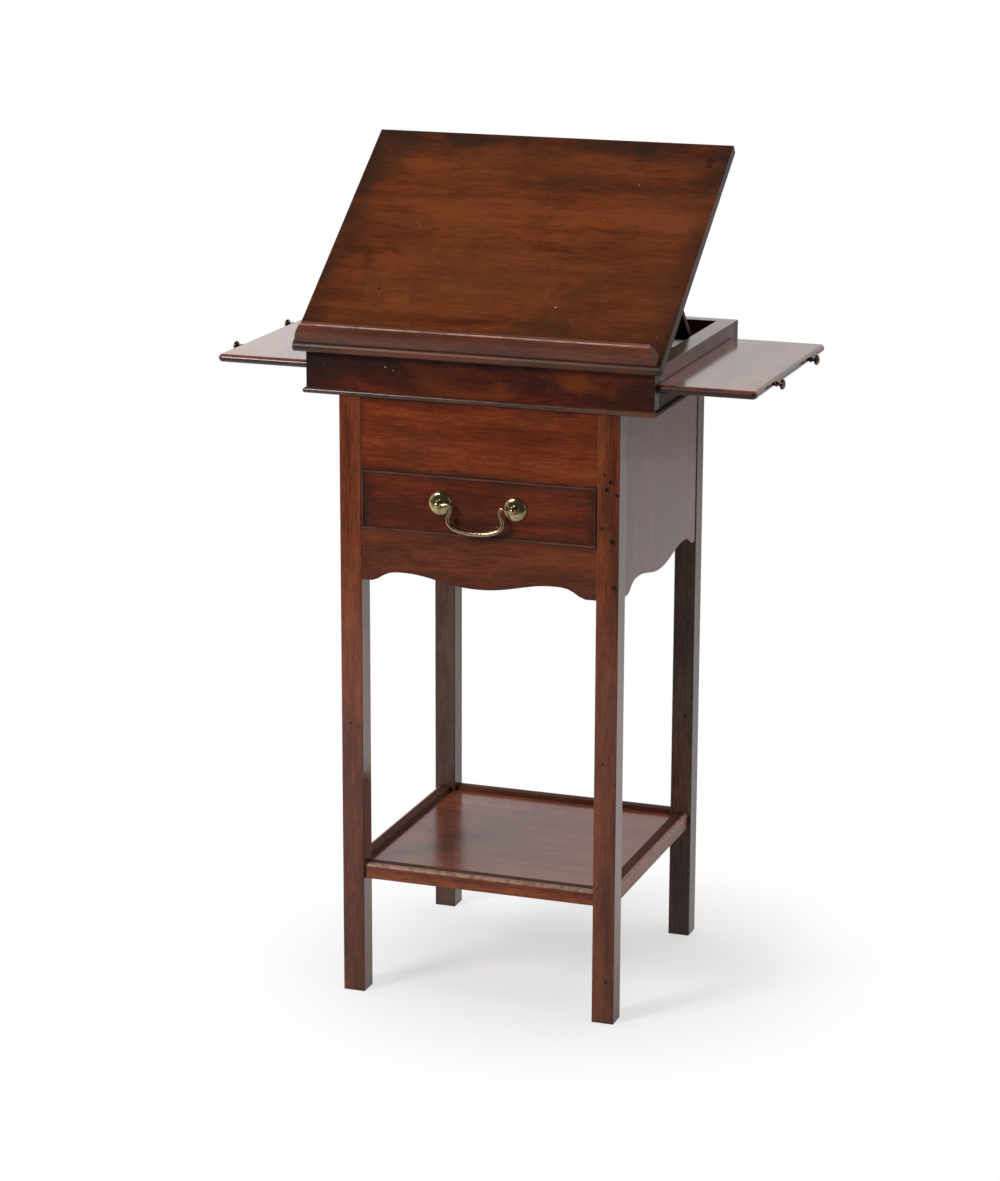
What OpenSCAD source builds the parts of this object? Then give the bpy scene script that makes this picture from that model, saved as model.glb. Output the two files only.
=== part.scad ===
/* [Stand] */
// Width over the legs, left to right
stand_w = 350; // [280:1:460]
// Depth over the legs, front to back
stand_d = 352; // [280:1:460]
// Height of the stand, floor to the underside of the top box
stand_h = 751; // [600:1:860]
// Side of each square leg
leg_side = 27.5; // [20:0.5:40]
// Chamfer worn on the long arrises of the legs
leg_arris = 0.8; // [0.3:0.1:2]
// Step from the legs' faces in to the panels' faces
panel_setback = 1; // [0.5:0.1:3]
// Thickness of the side and back panels
side_panel_t = 14; // [8:0.5:20]
// Thickness of the plain panel and the apron on the front
front_panel_t = 17; // [12:0.5:22]

/* [Apron] */
// Height of the front apron at its lowest, under the drawer
apron_h = 62.5; // [40:0.5:90]
// Rise of the two arches in each apron
apron_rise = 12.3; // [6:0.1:24]
// Where each arch peaks, as a share of the half width
arch_peak = 0.63; // [0.5:0.01:0.7]
// Where each arch comes down again, as a share of the half width
arch_foot = 0.91; // [0.85:0.01:0.96]

/* [Shelf] */
// Height of the underside of the shelf rails
shelf_low = 147.5; // [80:0.5:260]
// Height of the shelf rails
shelf_rail_h = 19; // [14:0.5:30]
// Thickness of the shelf rails
shelf_rail_t = 17; // [12:0.5:22]
// Step from the legs' faces in to the shelf rails
shelf_setback = 4; // [1:0.5:6]
// Thickness of the shelf board
shelf_board_t = 7; // [5:0.5:10]
// Depth of the shelf board's top below the top of its rails
shelf_sink = 5.5; // [3:0.5:8]

/* [Drawer] */
// Height of the plain panel over the drawer
over_panel_h = 88; // [60:0.5:120]
// Height of the drawer opening
drawer_h = 73; // [60:0.5:90]
// Gap between the drawer and its opening
drawer_gap = 0.4; // [0.3:0.05:1]
// Thickness of the drawer front
drawer_front_t = 19; // [16:0.5:24]
// Thickness of the drawer sides and back
drawer_side_t = 8; // [7:0.5:10]
// Thickness of the drawer bottom
drawer_bottom_t = 5; // [4:0.5:7]
// Thickness of the cock bead round the drawer front
bead_t = 3; // [2:0.1:4]
// Depth of the cock bead strips
bead_depth = 10; // [7:0.5:12]
// How far the cock bead stands proud of the drawer front
bead_proud = 1.8; // [1:0.1:3]

/* [Handle] */
// Distance between the two handle posts
handle_centres = 94; // [76:0.5:120]
// Height of the posts above the middle of the drawer front
handle_raise = 2.7; // [0:0.1:12]
// Diameter of each rose
rose_d = 28.4; // [22:0.2:32]
// Drop of the bail below the posts
bail_drop = 31.7; // [28:0.1:38]
// Diameter of the bail at its middle
bail_mid_d = 6.6; // [4.5:0.1:7.5]
// Diameter of the bail near its ends
bail_end_d = 2.8; // [2.6:0.1:3.4]

/* [Top box] */
// How far the box stands out past the stand at each side
box_over_side = 41; // [20:0.5:60]
// How far the box stands out past the stand at the front and back
box_over_end = 0.75; // [0.25:0.25:8]
// Height of the box
box_h = 55.5; // [55:0.5:80]
// Thickness of the side walls
box_side_t = 22.5; // [16:0.5:26]
// Thickness of the front and back walls
box_end_t = 18; // [16:0.5:22]
// Thickness of the box bottom
box_bottom_t = 8; // [6:0.5:10]
// Height of the bead moulding round the foot of the box
moulding_h = 7.2; // [5:0.1:14]
// How far the bead moulding stands out from the box
moulding_out = 3.7; // [3:0.1:10]
// Depth of the well floor's top below the top of the box
well_depth = 14.5; // [14:0.5:18]
// Thickness of the well floor
well_floor_t = 3; // [2.5:0.5:6]

/* [Slides] */
// Thickness of the candle slides
slide_t = 10; // [8:0.5:12]
// How far each slide is drawn out
slide_out = 118.5; // [60:0.5:130]
// Step from the box's front face back to the slides' front edge
slide_front = 7; // [5:0.5:10]
// Step from the box's back face forward to the slides' back edge
slide_back = 27; // [26:0.5:40]
// Radius of the slides' outer corners, seen from above
slide_corner = 6; // [6:0.5:14]
// Distance between the two knobs on a slide
knob_centres = 160; // [100:1:200]
// Diameter of the knob heads
knob_d = 12.9; // [9:0.1:16]
// Distance from the slide's edge to the middle of each knob's head
knob_stand = 9.5; // [9:0.1:14]

/* [Slope] */
// How far the shut slope stands out past the box at each side
slope_over_side = 10.8; // [6:0.1:20]
// How far the shut slope stands out past the back of the box
slope_over_back = 3.75; // [0.25:0.25:12]
// Length of the slope in front of its hinge line
slope_nose = 11; // [9:0.5:16]
// Thickness of the slope
slope_t = 12.5; // [11:0.5:16]
// Angle the slope is raised to
slope_angle = 36.7; // [30:0.1:42]
// Height of the book ledge above the slope
ledge_h = 24; // [16:0.5:30]
// Thickness of the book ledge at its foot
ledge_t = 13; // [10:0.5:16]
// Step from the slope's front edge back to the foot of the ledge
ledge_step = 5; // [4:0.5:8]
// Width of the book ledge's flat top
ledge_top_w = 4.4; // [3:0.1:7]
// Step from the slope's ends in to the ends of the ledge
ledge_end_step = 4; // [2:0.5:8]

/* [Easel strut] */
// Distance from the slope's hinge line to the strut's hinge line
strut_place = 178; // [165:1:190]
// Thickness of the strut frame
strut_t = 7; // [6:0.5:8]
// Width of each strut stile
stile_w = 30; // [20:1:40]
// Gap between the strut and the side walls of the well
strut_side_gap = 6.5; // [4:0.5:12]
// Width of the toothed strips
ratchet_w = 16; // [10:0.5:24]
// Height of the toothed strips above the well floor
ratchet_h = 3.3; // [2.5:0.1:5]
// Spacing of the ratchet teeth
tooth_pitch = 12; // [8:0.5:20]
// Number of ratchet teeth on each strip
tooth_count = 13; // [6:1:16]

/* [Hinges] */
// Width of each hinge
hinge_w = 38; // [30:1:50]
// Radius of the hinge knuckles
knuckle_r = 2.6; // [2.2:0.1:3]
// Radius of the hinge pins
pin_r = 1.2; // [0.9:0.05:1.4]
// Thickness of the hinge leaves
leaf_t = 1.5; // [1:0.1:2]
// Reach of the hinge leaves from the hinge line
leaf_reach = 14.5; // [12:0.5:16]

/* [Hidden] */
$fn = 48;
// Running gap between a knuckle and its neighbour
knuckle_gap = 0.3;
// Gap round a shaft in its hole
bore_gap = 0.05;
// Gap between pieces that move past each other
run_gap = 0.3;
// Gap between the closed slope and the box, and between the folded strut and the slope
lid_gap = 0.4;
// Clearance of a knuckle in its groove
groove_gap = 0.5;
// Clearance of a leaf in its seat
leaf_gap = 0.1;
// Clearance between a knuckle and the wall behind it
knuckle_wall_gap = 0.15;
// Clearance of a loose board in its grooves, and the depth of the grooves
board_gap = 0.3;
board_groove = 4;
// Height of the strut's foot above the tooth tips
foot_gap = 1.44;
// Gap between the folded strut's foot and the back wall of the box
strut_back_gap = 1.75;
// Gap between a shut slide and the strip in the middle of the box
slide_inner_gap = 3;
// Overshoot of a cutter past the face it cuts
over = 1;
// Depth of the tenons, their thickness, their shoulder and the clearance at their ends
tenon_l = 8;
tenon_t = 6;
tenon_shoulder = 7;
tenon_end_gap = 0.5;

leg_in_x = stand_w / 2 - leg_side;
leg_in_y = stand_d / 2 - leg_side;
panel_x = stand_w / 2 - panel_setback;
panel_y = stand_d / 2 - panel_setback;
shelf_rail_x = stand_w / 2 - shelf_setback;
shelf_rail_y = stand_d / 2 - shelf_setback;
shelf_top = shelf_low + shelf_rail_h;

drawer_top = stand_h - over_panel_h;
drawer_low = drawer_top - drawer_h;
apron_low = drawer_low - apron_h;
front_in_y = -panel_y + front_panel_t;
back_in_y = panel_y - side_panel_t;
side_in_x = panel_x - side_panel_t;
runner_w = 18;
runner_h = 12;
guide_h = 24;
stop_l = 10;
shelf_rail_round = 4;

drawer_x = leg_in_x - drawer_gap;
drawer_z0 = drawer_low + drawer_gap;
drawer_z1 = drawer_top - drawer_gap;
drawer_face_y = -panel_y;
drawer_front_back_y = drawer_face_y + drawer_front_t;
drawer_back_y = back_in_y - stop_l - drawer_gap;
side_drop = 2;
drawer_side_top = drawer_z1 - side_drop;
bead_back_y = drawer_face_y - bead_proud + bead_depth;
bottom_raise = 6;
bottom_z = drawer_z0 + bottom_raise;
tail_l = drawer_front_back_y - bead_back_y;
tail_count = 3;
tail_flare = 2;
tail_share = 0.32;

post_z = (drawer_low + drawer_top) / 2 + handle_raise;
rose_t = 4.4;
rose_rim_t = 1;
rose_flat_r = 4.2;
rose_steps = 6;
post_shaft_r = 2.5;
post_collar_r = 3.6;
post_collar_t = 0.8;
post_neck_r = 2.7;
post_head_r = 4.8;
post_tail_l = 2.5;
post_hole_r = post_shaft_r + bore_gap;
bail_stand = 9.5;
bail_y = drawer_face_y - bail_stand;
bail_end_gap = 1.7;
bail_end_x = handle_centres / 2 - post_head_r - bail_end_gap;
bail_neck_in = 10;
bail_neck_drop = 0.13 * bail_drop;
bail_hip_in = 5.9;
bail_hip_drop = 0.55 * bail_drop;
bail_pin_l = 8.5;
bail_pin_step = 0.15;
bail_pin_r = bail_end_d / 2 - bail_pin_step;
bail_sides = 20;
bail_steps = 7;
// How late the bail swells towards its middle: 1 is evenly
bail_swell = 2.2;
nut_t = 3.5;
nut_r = 5.5;

box_w = stand_w + 2 * box_over_side;
box_d = stand_d + 2 * box_over_end;
box_z0 = stand_h;
box_top = stand_h + box_h;
box_x = box_w / 2;
box_y = box_d / 2;
well_x = box_x - box_side_t;
well_y = box_y - box_end_t;
well_floor_top = box_top - well_depth;
slide_head_gap = 0.5;
slide_top = well_floor_top - well_floor_t - slide_head_gap;
slide_z0 = slide_top - slide_t;
slide_mid_z = slide_top - slide_t / 2;
slide_y0 = -box_y + slide_front;
slide_y1 = box_y - slide_back;
slide_edge_r = slide_t / 2;
slide_end_x = box_x + slide_out;
slide_mid_y = (slide_y0 + slide_y1) / 2;
knob_ys = [slide_mid_y - knob_centres / 2, slide_mid_y + knob_centres / 2];
slot_gap = 0.3;
bearer_h = 8;
bearer_w = 24;
divider_w = 7;
slide_len = box_x - divider_w / 2 - slide_inner_gap;
stop_pin_r = 3.5;
stop_pin_h = 6.5;
stop_pin_in = 5;
stop_pin_x = well_x - stop_pin_r - run_gap;
knob_shank_l = 9;
knob_shank_r = 1.8;
knob_waist_r = 2.1;
knob_bead_r = 3.3;
knob_bead_h = 4.4;
knob_head_t = 0.52 * knob_d;

axis_y = -box_y - knuckle_r - knuckle_wall_gap;
axis_z = box_top;
slope_w = box_w + 2 * slope_over_side;
slope_len = box_y + slope_over_back - axis_y;
ledge_quirk = 0.9;

strut_x = well_x - strut_side_gap;
strut_foot_r = strut_t / 2;
strut_start = knuckle_r + lid_gap;
// From the strut's hinge line to the middle of its rounded foot
strut_len = well_y - strut_back_gap - strut_foot_r - axis_y - strut_place;
// Fall of the raised strut from its hinge line to its foot, and its angle below the horizontal
strut_fall = strut_place * sin(slope_angle) + well_depth - ratchet_h - foot_gap - strut_foot_r;
strut_angle = asin(strut_fall / norm([strut_len, strut_foot_r])) - atan(strut_foot_r / strut_len);
strut_turn = slope_angle + strut_angle;
strut_rail_w = 34;
foot_rail_up = 55;
foot_rail_from = strut_len - foot_rail_up;
foot_rail_w = 26;
foot_rail_arch_r = 14;
hinge_in = 75;
hinge_x = slope_w / 2 - hinge_in;
strut_hinge_in = 12;
strut_hinge_x = strut_x - stile_w - strut_hinge_in - hinge_w / 2;
tooth_root = 0.7;
tooth_ramp = 0.86;
ratchet_lead = 10;
ratchet_end_gap = 1;
ratchet_back = well_y - ratchet_end_gap;

screw_head_r = 2.4;
screw_head_h = 1.3;
screw_r = 1.2;
screw_l = 8;
strut_screw_l = 4;
screw_end_gap = 0.4;
screw_y = 9.6;
screw_in = 7;
screw_x = hinge_w / 2 - screw_in;
screw_hole_r = screw_r + bore_gap;
slot_w = 0.7;
slot_d = 0.5;

mahogany = [0.44, 0.19, 0.10];
mahogany_light = [0.55, 0.27, 0.13];
mahogany_dark = [0.28, 0.12, 0.07];
oak = [0.62, 0.46, 0.29];
brass = [0.72, 0.57, 0.28];
brass_dark = [0.33, 0.25, 0.14];

// Places what is drawn twice, mirrored left to right
module both_sides() {
    children();
    mirror([1, 0, 0]) children();
}

// Box between two opposite corners
module block(low, high) {
    translate(low) cube(high - low);
}

// Places closed-slope geometry, drawn from the hinge line, at the slope's raised angle
module on_slope() {
    translate([0, axis_y, axis_z]) rotate([slope_angle, 0, 0]) children();
}

// Places folded-strut geometry, drawn from the strut's hinge line, at the strut's raised angle
module on_strut() {
    on_slope() translate([0, strut_place, 0]) rotate([-strut_turn, 0, 0]) children();
}

// Rise of an apron's lower edge at a share of the half width: a low middle, an arch, a flat end
function arch(u) =
    u >= arch_foot ? 0
    : u > arch_peak ? 0.5 * (1 + cos(180 * pow((u - arch_peak) / (arch_foot - arch_peak), 1.9)))
    : 0.5 * (1 - cos(180 * pow(u / arch_peak, 1.1)));

// Panel with a shaped lower edge, standing in the XZ plane, its outer face at y = 0
module shaped_panel(half_w, top, thick) {
    steps = 18;
    edge = concat(
        [half_w],
        [for (i = [steps:-1:1]) arch_foot * half_w * i / steps],
        [0]
    );
    half = [for (x = edge) [x, apron_low + apron_rise * arch(x / half_w)]];
    other = [for (i = [len(half) - 2:-1:0]) [-half[i][0], half[i][1]]];
    translate([0, thick, 0]) rotate([90, 0, 0]) linear_extrude(thick)
        polygon(concat(half, other, [[-half_w, top], [half_w, top]]));
    for (side = [-1, 1]) {
        x0 = side > 0 ? half_w - over : -half_w - tenon_l;
        block(
            [x0, thick / 2 - tenon_t / 2, apron_low + tenon_shoulder],
            [x0 + tenon_l + over, thick / 2 + tenon_t / 2, top - tenon_shoulder]
        );
    }
}

// Mortise for a tenon that stands in the XZ plane, entering from x = 0 towards +x
module mortise(low, top) {
    block(
        [-over, -tenon_t / 2, low + tenon_shoulder],
        [tenon_l + tenon_end_gap, tenon_t / 2, top - tenon_shoulder]
    );
}

// Leg at the right back corner, with its mortises; the others are mirrored from it
module leg(front) {
    side_mid = panel_x - side_panel_t / 2;
    long_mid = front ? panel_y - front_panel_t / 2 : panel_y - side_panel_t / 2;
    rail_mid_x = shelf_rail_x - shelf_rail_t / 2;
    rail_mid_y = shelf_rail_y - shelf_rail_t / 2;
    c = leg_arris;
    s = leg_side;
    difference() {
        translate([leg_in_x, leg_in_y, 0]) linear_extrude(stand_h)
            polygon([[c, 0], [s - c, 0], [s, c], [s, s - c], [s - c, s], [c, s], [0, s - c], [0, c]]);
        translate([leg_in_x, long_mid, 0]) {
            if (front) {
                mortise(apron_low, drawer_low);
                mortise(drawer_top, stand_h);
            } else {
                mortise(apron_low, stand_h);
            }
        }
        translate([side_mid, leg_in_y, 0]) rotate([0, 0, 90]) mortise(apron_low, stand_h);
        translate([leg_in_x, rail_mid_y, 0]) shelf_mortise();
        translate([rail_mid_x, leg_in_y, 0]) rotate([0, 0, 90]) shelf_mortise();
    }
}

module shelf_mortise() {
    block(
        [-over, -tenon_t / 2, shelf_low + shelf_rail_h / 4],
        [tenon_l + tenon_end_gap, tenon_t / 2, shelf_low + 3 * shelf_rail_h / 4]
    );
}

module leg_back_right() {
    color(mahogany) leg(false);
}

module leg_back_left() {
    color(mahogany) mirror([1, 0, 0]) leg(false);
}

module leg_front_right() {
    color(mahogany) mirror([0, 1, 0]) leg(true);
}

module leg_front_left() {
    color(mahogany) rotate([0, 0, 180]) leg(true);
}

// Plain panel fixed over the drawer
module front_panel() {
    mid = -panel_y + front_panel_t / 2;
    color(mahogany_light) {
        block([-leg_in_x, -panel_y, drawer_top], [leg_in_x, front_in_y, stand_h]);
        both_sides() block(
            [leg_in_x - over, mid - tenon_t / 2, drawer_top + tenon_shoulder],
            [leg_in_x + tenon_l, mid + tenon_t / 2, stand_h - tenon_shoulder]
        );
    }
}

// Shaped apron under the drawer
module front_apron() {
    color(mahogany_light) translate([0, -panel_y, 0])
        shaped_panel(leg_in_x, drawer_low, front_panel_t);
}

module side_panel() {
    translate([panel_x, 0, 0]) rotate([0, 0, 90]) shaped_panel(leg_in_y, stand_h, side_panel_t);
}

module side_panel_right() {
    color(mahogany) side_panel();
}

module side_panel_left() {
    color(mahogany) mirror([1, 0, 0]) side_panel();
}

module back_panel() {
    color(mahogany) rotate([0, 0, 180]) translate([0, -panel_y, 0])
        shaped_panel(leg_in_x, stand_h, side_panel_t);
}

// Strips the drawer runs on
module drawer_runners() {
    color(oak) both_sides() block(
        [leg_in_x - runner_w, front_in_y, drawer_low - runner_h],
        [leg_in_x, back_in_y, drawer_low]
    );
}

// Strips between the legs that keep the drawer straight
module drawer_guides() {
    color(oak) both_sides() block(
        [leg_in_x, -leg_in_y, drawer_low - runner_h],
        [side_in_x, leg_in_y, drawer_low - runner_h + guide_h]
    );
}

// Strips over the drawer sides that stop the drawer tipping
module drawer_kickers() {
    color(oak) both_sides() block(
        [leg_in_x - runner_w, front_in_y, drawer_top],
        [leg_in_x, back_in_y, drawer_top + runner_h]
    );
}

// Blocks the drawer comes up against when it is shut
module drawer_stops() {
    color(oak) both_sides() block(
        [leg_in_x - runner_w, back_in_y - stop_l, drawer_low],
        [leg_in_x, back_in_y, drawer_low + guide_h]
    );
}

// Shelf rail in the XZ plane, outer face at y = 0, top outer arris rounded, board groove inside
module shelf_rail(half_w) {
    r = shelf_rail_round;
    groove_z = shelf_rail_h - shelf_sink - shelf_board_t;
    round_top = [for (i = [0:6]) [r - r * cos(15 * i), shelf_rail_h - r + r * sin(15 * i)]];
    translate([0, 0, shelf_low]) difference() {
        union() {
            translate([-half_w, 0, 0]) rotate([90, 0, 90]) linear_extrude(2 * half_w)
                polygon(concat([[0, 0]], round_top, [[shelf_rail_t, shelf_rail_h], [shelf_rail_t, 0]]));
            both_sides() block(
                [half_w - over, shelf_rail_t / 2 - tenon_t / 2, shelf_rail_h / 4],
                [half_w + tenon_l, shelf_rail_t / 2 + tenon_t / 2, 3 * shelf_rail_h / 4]
            );
        }
        block(
            [-half_w - over, shelf_rail_t - board_groove, groove_z],
            [half_w + over, shelf_rail_t + over, groove_z + shelf_board_t]
        );
    }
}

module shelf_rail_front() {
    color(mahogany) translate([0, -shelf_rail_y, 0]) shelf_rail(leg_in_x);
}

module shelf_rail_back() {
    color(mahogany) rotate([0, 0, 180]) translate([0, -shelf_rail_y, 0]) shelf_rail(leg_in_x);
}

module shelf_rail_right() {
    color(mahogany) translate([shelf_rail_x, 0, 0]) rotate([0, 0, 90]) shelf_rail(leg_in_y);
}

module shelf_rail_left() {
    color(mahogany) translate([-shelf_rail_x, 0, 0]) rotate([0, 0, -90]) shelf_rail(leg_in_y);
}

// Board let into the rails, notched round the legs
module shelf_board() {
    z0 = shelf_top - shelf_sink - shelf_board_t;
    z1 = shelf_top - shelf_sink;
    reach_x = shelf_rail_x - shelf_rail_t + board_groove;
    reach_y = shelf_rail_y - shelf_rail_t + board_groove;
    color(mahogany_light) difference() {
        block([-reach_x, -reach_y, z0], [reach_x, reach_y, z1]);
        for (sx = [-1, 1], sy = [-1, 1])
            translate([sx * (leg_in_x + leg_side), sy * (leg_in_y + leg_side), z0 - over])
                linear_extrude(shelf_board_t + 2 * over)
                    square([2 * leg_side, 2 * leg_side], center = true);
    }
}

// Dovetail tails on the end of a drawer side, pointing towards -y from y = 0; a cutter runs past
module tails(low, high, thick, length, past = 0) {
    pitch = (high - low) / tail_count;
    wide = pitch * tail_share;
    for (i = [0:tail_count - 1]) {
        mid = low + pitch * (i + 0.5);
        rotate([90, 0, 90]) linear_extrude(thick) polygon([
            [over, mid - wide + tail_flare],
            [0, mid - wide + tail_flare],
            [-length, mid - wide],
            [-length - past, mid - wide],
            [-length - past, mid + wide],
            [-length, mid + wide],
            [0, mid + wide - tail_flare],
            [over, mid + wide - tail_flare]
        ]);
    }
}

// Drawer side at the right, dovetailed at both ends and grooved for the bottom
module drawer_side() {
    back_start = drawer_back_y - drawer_side_t;
    x0 = drawer_x - drawer_side_t;
    difference() {
        union() {
            block([x0, drawer_front_back_y, drawer_z0], [drawer_x, back_start, drawer_side_top]);
            translate([x0, drawer_front_back_y, 0])
                tails(drawer_z0 + bead_t, drawer_side_top, drawer_side_t, tail_l);
            translate([x0, back_start, 0]) mirror([0, 1, 0])
                tails(bottom_z + drawer_bottom_t, drawer_side_top, drawer_side_t, drawer_side_t);
            block(
                [x0, back_start - over, drawer_z0],
                [drawer_x, drawer_back_y, bottom_z + drawer_bottom_t]
            );
        }
        block(
            [x0 - over, drawer_front_back_y - tail_l - over, bottom_z],
            [x0 + board_groove, drawer_back_y + over, bottom_z + drawer_bottom_t]
        );
    }
}

module drawer_side_right() {
    color(oak) drawer_side();
}

module drawer_side_left() {
    color(oak) mirror([1, 0, 0]) drawer_side();
}

// Front board, rebated for the bead, with sockets for the dovetails and holes for the posts
module drawer_front() {
    socket_x = drawer_x - drawer_side_t;
    color(mahogany) difference() {
        union() {
            block(
                [-drawer_x + bead_t, drawer_face_y, drawer_z0 + bead_t],
                [drawer_x - bead_t, drawer_front_back_y, drawer_z1 - bead_t]
            );
            block([-drawer_x, bead_back_y, drawer_z0], [drawer_x, drawer_front_back_y, drawer_z1]);
        }
        both_sides() translate([socket_x, drawer_front_back_y, 0])
            tails(drawer_z0 + bead_t, drawer_side_top, drawer_side_t + over, tail_l);
        block(
            [-drawer_x + board_groove, drawer_front_back_y - board_groove, bottom_z],
            [drawer_x - board_groove, drawer_front_back_y + over, bottom_z + drawer_bottom_t]
        );
        both_sides() translate([handle_centres / 2, drawer_front_back_y + over, post_z])
            rotate([90, 0, 0]) cylinder(h = drawer_front_t + 2 * over, r = post_hole_r);
    }
}

module drawer_back() {
    y0 = drawer_back_y - drawer_side_t;
    color(oak) difference() {
        block([-drawer_x, y0, bottom_z + drawer_bottom_t], [drawer_x, drawer_back_y, drawer_side_top]);
        both_sides() translate([drawer_x - drawer_side_t, y0, 0]) mirror([0, 1, 0])
            tails(bottom_z + drawer_bottom_t, drawer_side_top, drawer_side_t + over, drawer_side_t, over);
    }
}

module drawer_bottom() {
    reach = drawer_x - drawer_side_t + board_groove - board_gap;
    color(oak) block(
        [-reach, drawer_front_back_y - board_groove + board_gap, bottom_z],
        [reach, drawer_back_y, bottom_z + drawer_bottom_t]
    );
}

// Cock bead strip along x, its round nose towards -y, its back at the drawer front's rebate
module cock_bead(half_len) {
    r = bead_t / 2;
    nose_y = drawer_face_y - bead_proud + r;
    translate([-half_len, 0, 0]) {
        block([0, nose_y, -r], [2 * half_len, bead_back_y, r]);
        translate([0, nose_y, 0]) rotate([0, 90, 0]) cylinder(h = 2 * half_len, r = r);
    }
}

module cock_bead_long() {
    color(mahogany_light) for (z = [drawer_z0 + bead_t / 2, drawer_z1 - bead_t / 2])
        translate([0, 0, z]) cock_bead(drawer_x);
}

module cock_bead_short() {
    mid = (drawer_z0 + drawer_z1) / 2;
    half = (drawer_z1 - drawer_z0) / 2 - bead_t;
    color(mahogany_light) both_sides() translate([drawer_x - bead_t / 2, 0, mid])
        rotate([0, 90, 0]) cock_bead(half);
}

// Domed rose, its back on the drawer front, its face towards -y
module rose() {
    r = rose_d / 2;
    dome = [for (i = [0:rose_steps]) let (a = 90 * i / rose_steps)
        [
            rose_flat_r + (r - rose_flat_r) * cos(a),
            rose_rim_t + (rose_t - rose_rim_t) * sin(a)
        ]
    ];
    rotate([90, 0, 0]) rotate_extrude()
        polygon(concat([[post_hole_r, 0], [r, 0]], dome, [[post_hole_r, rose_t]]));
}

module handle_roses() {
    color(brass) both_sides() translate([handle_centres / 2, drawer_face_y, post_z]) rose();
}

// Post through the rose and the drawer front, its ball head pierced for the bail
module post() {
    tail = drawer_front_t + nut_t + post_tail_l;
    collar = rose_t + post_collar_t;
    outline = [
        [0, -tail],
        [post_shaft_r, -tail],
        [post_shaft_r, rose_t],
        [post_collar_r, rose_t],
        [post_collar_r, collar],
        [post_neck_r, collar + post_collar_r - post_neck_r],
        [post_neck_r, bail_stand],
        [0, bail_stand]
    ];
    difference() {
        rotate([90, 0, 0]) {
            rotate_extrude() polygon(outline);
            translate([0, 0, bail_stand]) sphere(r = post_head_r);
        }
        translate([-post_head_r - over, -bail_stand, 0]) rotate([0, 90, 0])
            cylinder(h = 2 * (post_head_r + over), r = bail_pin_r + bore_gap);
    }
}

module handle_posts() {
    color(brass) both_sides() translate([handle_centres / 2, drawer_face_y, post_z]) post();
}

module handle_nuts() {
    color(brass_dark) both_sides()
        translate([handle_centres / 2, drawer_front_back_y + nut_t, post_z]) rotate([90, 0, 0])
            difference() {
                cylinder(h = nut_t, r = nut_r, $fn = 6);
                translate([0, 0, -over]) cylinder(h = nut_t + 2 * over, r = post_hole_r);
            }
}

// Point of a cubic curve between a and d
function cubic(a, b, c, d, t) =
    pow(1 - t, 3) * a + 3 * t * pow(1 - t, 2) * b + 3 * t * t * (1 - t) * c + pow(t, 3) * d;

// Half of the swan-neck bail, [x from the middle, drop below the posts]: over to the neck, out to the
// hip, then round to the grip. The curves' inner points are shares of the distances they span
function bail_half() =
    let (
        start = [bail_end_x, 0],
        neck = [bail_end_x - bail_neck_in, bail_neck_drop],
        hip = [bail_end_x - bail_hip_in, bail_hip_drop],
        low = [0, bail_drop],
        fall = bail_hip_drop - bail_neck_drop,
        sag = bail_drop - bail_hip_drop,
        over_a = start + bail_neck_in * [-0.5, -0.16],
        over_b = neck + bail_neck_in * [-0.03, -0.76],
        out_a = neck + fall * [-0.015, 0.35],
        out_b = hip + fall * [0.03, -0.36],
        grip_a = hip + sag * [-0.03, 0.63],
        grip_b = [0.61 * hip[0], bail_drop],
        n = bail_steps
    )
    concat(
        [for (i = [0:n - 1]) cubic(start, over_a, over_b, neck, i / n)],
        [for (i = [0:n - 1]) cubic(neck, out_a, out_b, hip, i / n)],
        [for (i = [0:n]) cubic(hip, grip_a, grip_b, low, i / n)]
    );

function bail_radius(p) =
    bail_end_d / 2 + (bail_mid_d - bail_end_d) / 2 * pow(max(p[1], 0) / bail_drop, bail_swell);

function unit(v) = v / norm(v);

// Swan-neck bail: rings of a changing radius swept along the path, with a pin into each post
module handle_bail() {
    half = bail_half();
    other = [for (i = [len(half) - 2:-1:0]) [-half[i][0], half[i][1]]];
    bail_path = concat(half, other);
    last = len(bail_path) - 1;
    rings = [for (i = [0:last])
        let (
            before = bail_path[max(i - 1, 0)],
            after = bail_path[min(i + 1, last)],
            run = i == 0 || i == last ? [-1, 0] : unit(after - before),
            across = [-run[1], run[0]],
            r = bail_radius(bail_path[i])
        )
        for (k = [0:bail_sides - 1])
            let (a = 360 * k / bail_sides)
            [
                bail_path[i][0] + r * cos(a) * across[0],
                r * sin(a),
                -bail_path[i][1] - r * cos(a) * across[1]
            ]
    ];
    skin = [for (i = [0:last - 1], k = [0:bail_sides - 1])
        let (next = (k + 1) % bail_sides)
        [
            i * bail_sides + k, (i + 1) * bail_sides + k,
            (i + 1) * bail_sides + next, i * bail_sides + next
        ]
    ];
    first_cap = [for (k = [0:bail_sides - 1]) k];
    last_cap = [for (k = [bail_sides - 1:-1:0]) last * bail_sides + k];
    color(brass) translate([0, bail_y, post_z]) {
        polyhedron(rings, concat(skin, [first_cap, last_cap]));
        both_sides() translate([bail_end_x, 0, 0]) rotate([0, 90, 0])
            cylinder(h = bail_pin_l, r = bail_pin_r);
    }
}

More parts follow.
